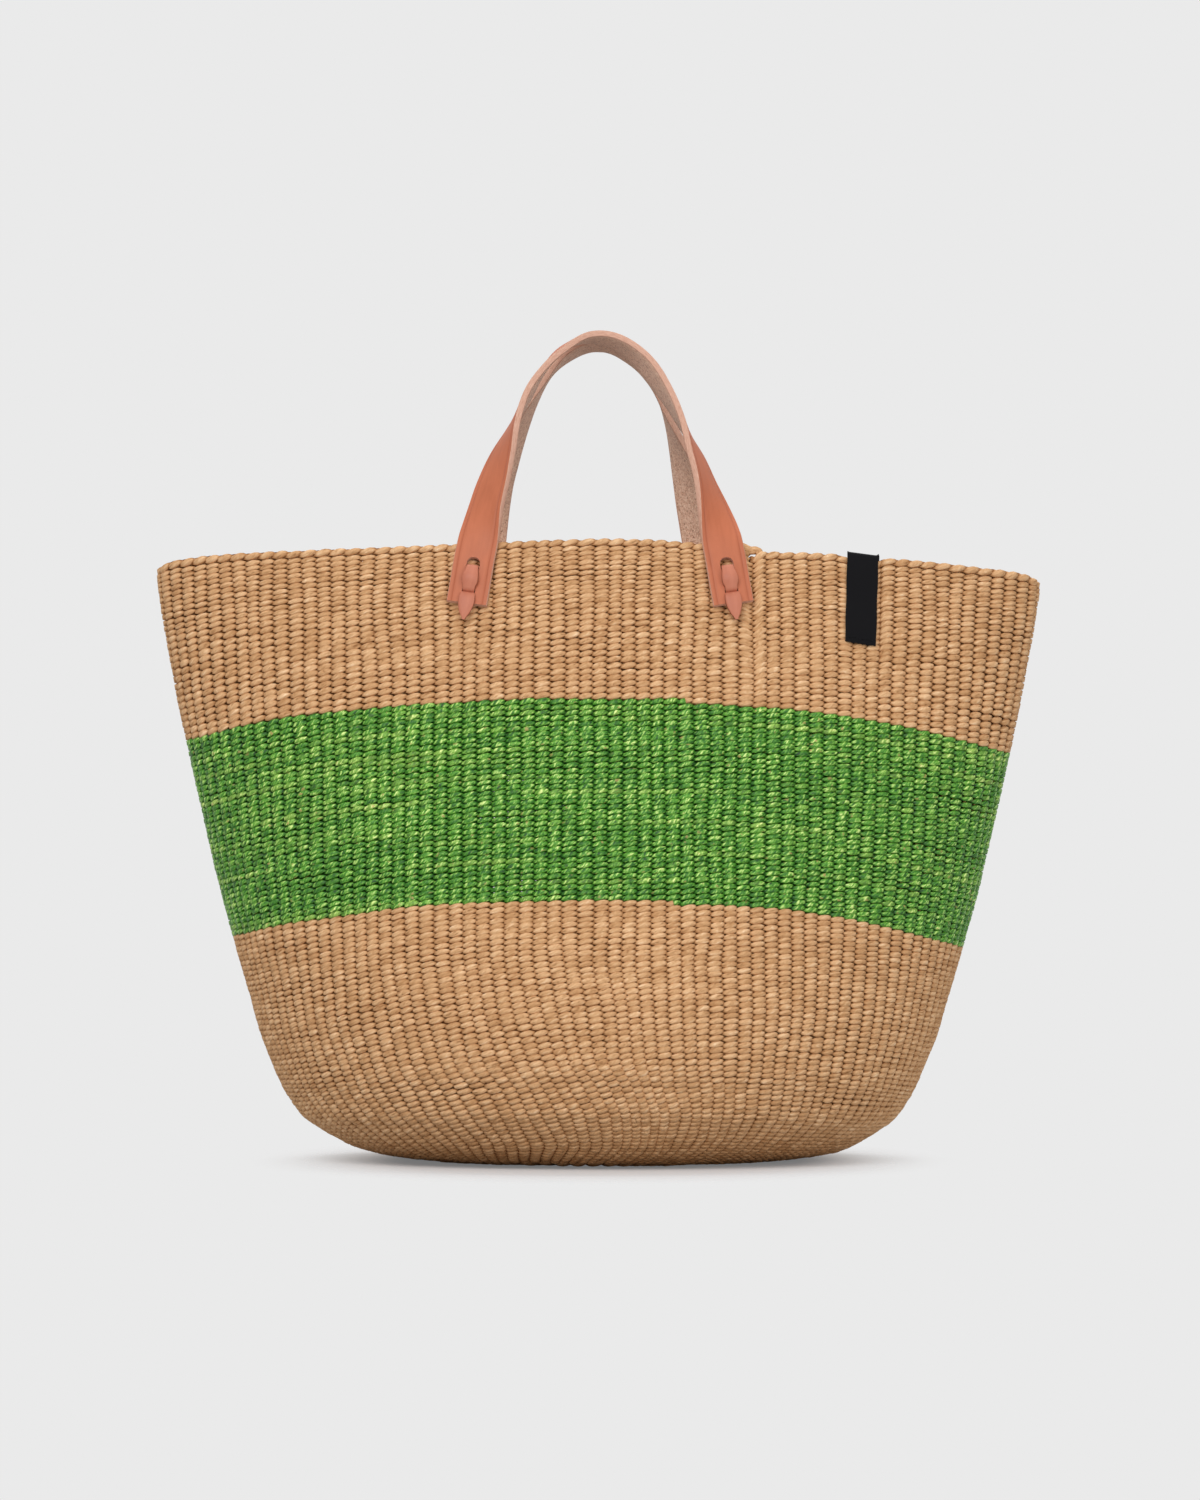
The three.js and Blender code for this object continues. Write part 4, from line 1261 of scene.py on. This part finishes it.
def threads(name, runs, material):
    """One piece of many short round threads, each through the centres of a run."""
    points, faces, start = [], [], 0
    for centres in runs:
        tangent = unit(np.gradient(centres, axis=0))
        aside = unit(np.cross(tangent, np.array((0.31, 0.2, 0.93))))
        sizes = np.full(len(centres), THREAD_RADIUS)
        sizes[[0, -1]] *= THREAD_TAPER
        rings = sweep(centres, aside, np.cross(tangent, aside), sizes, sizes, round_section(THREAD_SIDES))
        points.append(rings.reshape(-1, 3))
        faces += tube_faces(len(centres), THREAD_SIDES, start)
        start += len(centres) * THREAD_SIDES
    uvs = np.random.default_rng(5).uniform(0, 9, (sum(f.size for f in faces), 2))
    return make_mesh(name, np.concatenate(points), faces, uvs, [material],
                     floats={"tone": np.full(start, 0.4), "dive": np.full(start, 0.3)})


def label_threads():
    """Sewing through both ends of the label, and the frayed ends below the outer one."""
    rng = np.random.default_rng(43)
    runs = []
    for out, sign in ((LABEL_OUTSIDE + LABEL_CLOTH / 2, 1), (LABEL_INSIDE - LABEL_CLOTH / 2, -1)):
        for middle in np.linspace(-SEWING_HALF_WIDTH, SEWING_HALF_WIDTH, SEWING_STITCHES):
            t = np.linspace(-1, 1, 7)
            down = LABEL_LENGTH - SEWING_DROP + sign * LABEL_SLIP + rng.uniform(-0.2, 0.2)
            down = down + t * rng.uniform(-0.12, 0.12)
            runs.append(label_place(middle + t * SEWING_HALF_STITCH, down, out + sign * (0.18 - 0.5 * t**4)))
    for _ in range(FRAYED_ENDS):
        start = rng.uniform(-FRAY_HALF_WIDTH, FRAY_HALF_WIDTH)
        length, lean = rng.uniform(0.5, 1.5), rng.uniform(-0.5, 0.5)
        t = np.linspace(0, 1, 5)
        down = LABEL_LENGTH - FRAY_DROP + LABEL_SLIP + t * length
        runs.append(label_place(start + lean * t * length, down, LABEL_OUTSIDE - HEM_SINK - 0.2 * t))
    return threads("label_sewing", runs, LABEL)


cloth = label()
sewing = label_threads()
for piece in (cloth, sewing):
    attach(piece, "basket")
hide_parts("label")
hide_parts("label_stitch")

# The rim rope's end turns down into the row below: x along the rim, then up and out from the wall's middle
ROPE_SPOTS = np.array([
    (64, -1.6, 0.2), (68, -0.7, 0.5), (72, -0.3, 0.7), (75.6, 0.3, 0.9), (78.6, 0.4, 0.9), (80.2, -1.8, 0.8),
    (80.2, -4.6, 0.4), (79.4, -8, -0.6),
])
ROPE_STEPS = 40
ROPE_SIDES = 12
ROPE_SIZES = np.array([(0, 1), (20, 1), (30, 0.9), (39, 0.6)])
ROPE_OUT_RADIUS = 2.0
ROPE_UP_RADIUS = 2.1
ROPE_PLIES = 3
ROPE_PLY_SWELL = 0.07
ROPE_PLY_TURN = 0.09


def rope_end():
    angles = -np.arccos(ROPE_SPOTS[:, 0] / RIM_HALF_WIDTH)
    point, normal, _, up = surface_frame(np.ones(len(ROPE_SPOTS)), angles)
    knots = point - normal * (WALL_THICKNESS / 2 - ROPE_SPOTS[:, 2:]) + up * ROPE_SPOTS[:, 1:2]
    places = np.linspace(0, len(knots) - 1, ROPE_STEPS)
    centre = smooth_line(tilted(knots), places)
    tangent = unit(np.gradient(centre, axis=0))
    face = square_to(normal[np.minimum(places.astype(int), len(knots) - 2)], tangent)
    other = np.cross(tangent, face)
    steps = np.arange(ROPE_STEPS)
    sizes = np.interp(steps, *ROPE_SIZES.T)[:, None]
    around = np.arange(ROPE_SIDES) / ROPE_SIDES * 2 * math.pi
    turns = (steps * ROPE_PLY_TURN)[:, None]
    swell = 1 + ROPE_PLY_SWELL * np.cos(ROPE_PLIES * around + turns * 2 * ROPE_PLIES)
    out_part = face[:, None] * (np.cos(around) * swell * ROPE_OUT_RADIUS * sizes)[..., None]
    up_part = other[:, None] * (np.sin(around) * swell * ROPE_UP_RADIUS * sizes)[..., None]
    points = (centre[:, None] + (out_part + up_part)).reshape(-1, 3)
    quads, caps = tube_faces(ROPE_STEPS, ROPE_SIDES, 0)
    uvs = tube_map(path_lengths(centre), np.arange(ROPE_SIDES + 1) / ROPE_SIDES * 2).reshape(-1, 2)
    uvs = np.vstack([uvs, np.zeros((caps.size, 2))])
    return make_mesh("rim_rope_end", points, [quads, caps], uvs, [NATURAL],
                     floats={"tone": np.full(len(points), 0.7), "dive": np.zeros(len(points))})


end_piece = rope_end()
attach(end_piece, "basket")

# Floor, light and camera
BACKGROUND = srgb(234, 234, 234)
WORLD_LIGHT = 0.47
FLOOR_RADIUS = 900.0
FLOOR_RINGS = 40
FLOOR_SIDES = 96
FLOOR_VEIL = 0.2
FLOOR_COLOUR = srgb(233, 234, 236)
FLOOR_GRAIN = srgb(200, 200, 200)
FLOOR_BOUNCE = srgb(188, 186, 183)
# Half sizes in metres of the oval that the floor fades out over
FADE_OVAL = (0.14, 0.18)


def floor_look():
    """A pale floor that fades out into the background, and sends back a warmer light than it shows."""
    f = Finish("floor_look")
    place = f.node("ShaderNodeTexCoord")["Object"]
    scale = (1 / FADE_OVAL[0], 1 / FADE_OVAL[1], 1)
    oval = f.node("ShaderNodeMapping", {"Vector": place, "Scale": scale})[0]
    reach = f.node("ShaderNodeVectorMath", {0: oval}, operation="LENGTH")["Value"]
    fade = f.span(reach, 0.7, 1.3, interpolation_type="SMOOTHSTEP")
    grain = f.noise(place, 2.0, scale=60.0)
    seen = f.node("ShaderNodeLightPath")["Is Camera Ray"]
    colour = f.mix(f.span(grain, 0, 1, 0.0, 0.01), FLOOR_COLOUR, FLOOR_GRAIN)
    f.finish(f.mix(seen, FLOOR_BOUNCE, colour), 0.9, None, 0.0)
    plain = f.node("ShaderNodeEmission", {"Color": BACKGROUND})[0]
    softened = f.mix_shaders(f.times(seen, FLOOR_VEIL), f.shader.outputs[0], plain)
    faded = f.mix_shaders(fade, softened, f.node("ShaderNodeBsdfTransparent")[0])
    f.put(f.tree.nodes["Material Output"].inputs["Surface"], faded)
    return f.material


def make_floor():
    radii = (np.arange(FLOOR_RINGS) + 1) / FLOOR_RINGS * FLOOR_RADIUS
    ring = round_section(FLOOR_SIDES)
    disc = (radii[:, None, None] * ring).reshape(-1, 2)
    points = np.vstack([np.zeros((1, 3)), np.column_stack([disc, np.zeros(len(disc))])])
    quads, _ = tube_faces(FLOOR_RINGS, FLOOR_SIDES, 1)
    quads = quads[:, [0, 3, 2, 1]]
    side = np.arange(FLOOR_SIDES)
    fan = np.stack([np.zeros(FLOOR_SIDES, int), side + 1, (side + 1) % FLOOR_SIDES + 1], -1)
    floor = make_mesh("floor", points, [fan, quads], np.zeros((fan.size + quads.size, 2)), [floor_look()])


def make_world():
    """Even light from all round, and the plain background for the camera and clear or shiny things to see."""
    world = bpy.data.worlds.new("studio")
    bpy.context.scene.world = world
    world.use_nodes = True
    n = Nodes(world.node_tree)
    n.tree.nodes.clear()
    light = n.node("ShaderNodeBackground", {"Color": (1, 1, 1, 1), "Strength": WORLD_LIGHT})[0]
    shown = n.node("ShaderNodeBackground", {"Color": BACKGROUND, "Strength": 1.0})[0]
    path = n.node("ShaderNodeLightPath")
    clear = n.math("MAXIMUM", path["Is Camera Ray"], path["Is Glossy Ray"])
    clear = n.math("MAXIMUM", clear, path["Is Transmission Ray"])
    n.node("ShaderNodeOutputWorld", {"Surface": n.mix_shaders(clear, light, shown)})


def soft_box(name, place, aim, size, power):
    data = bpy.data.lights.new(name, "AREA")
    data.shape = "RECTANGLE"
    data.size = size
    data.size_y = size
    data.energy = power
    lamp = bpy.data.objects.new(name, data)
    bpy.context.scene.collection.objects.link(lamp)
    lamp.location = place
    lamp.rotation_euler = (Vector(aim) - Vector(place)).to_track_quat("-Z", "Y").to_euler()


make_floor()
make_world()
soft_box("key_light", (-0.7, -2.4, 1.9), (0, 0, 0.2), 1.6, 41)
soft_box("fill_light", (1.5, -2.6, 0.8), (0, 0, 0.1), 1.6, 18)
soft_box("top_light", (0, 0.9, 2.5), (0, 0, 0), 1.2, 24)

CAMERA_DISTANCE = 3.8
CAMERA_HEIGHT = 0.20828
VIEW_HEIGHT = 0.762
SENSOR_SIZE = 36.0
camera_data = bpy.data.cameras.new("camera")
camera_data.sensor_width = SENSOR_SIZE
camera_data.lens = SENSOR_SIZE * CAMERA_DISTANCE / VIEW_HEIGHT
camera = bpy.data.objects.new("camera", camera_data)
bpy.context.scene.collection.objects.link(camera)
camera.location = (0, -CAMERA_DISTANCE, CAMERA_HEIGHT)
camera.rotation_euler = (math.pi / 2, 0, 0)
bpy.context.scene.camera = camera
bpy.context.scene.view_settings.view_transform = "Standard"
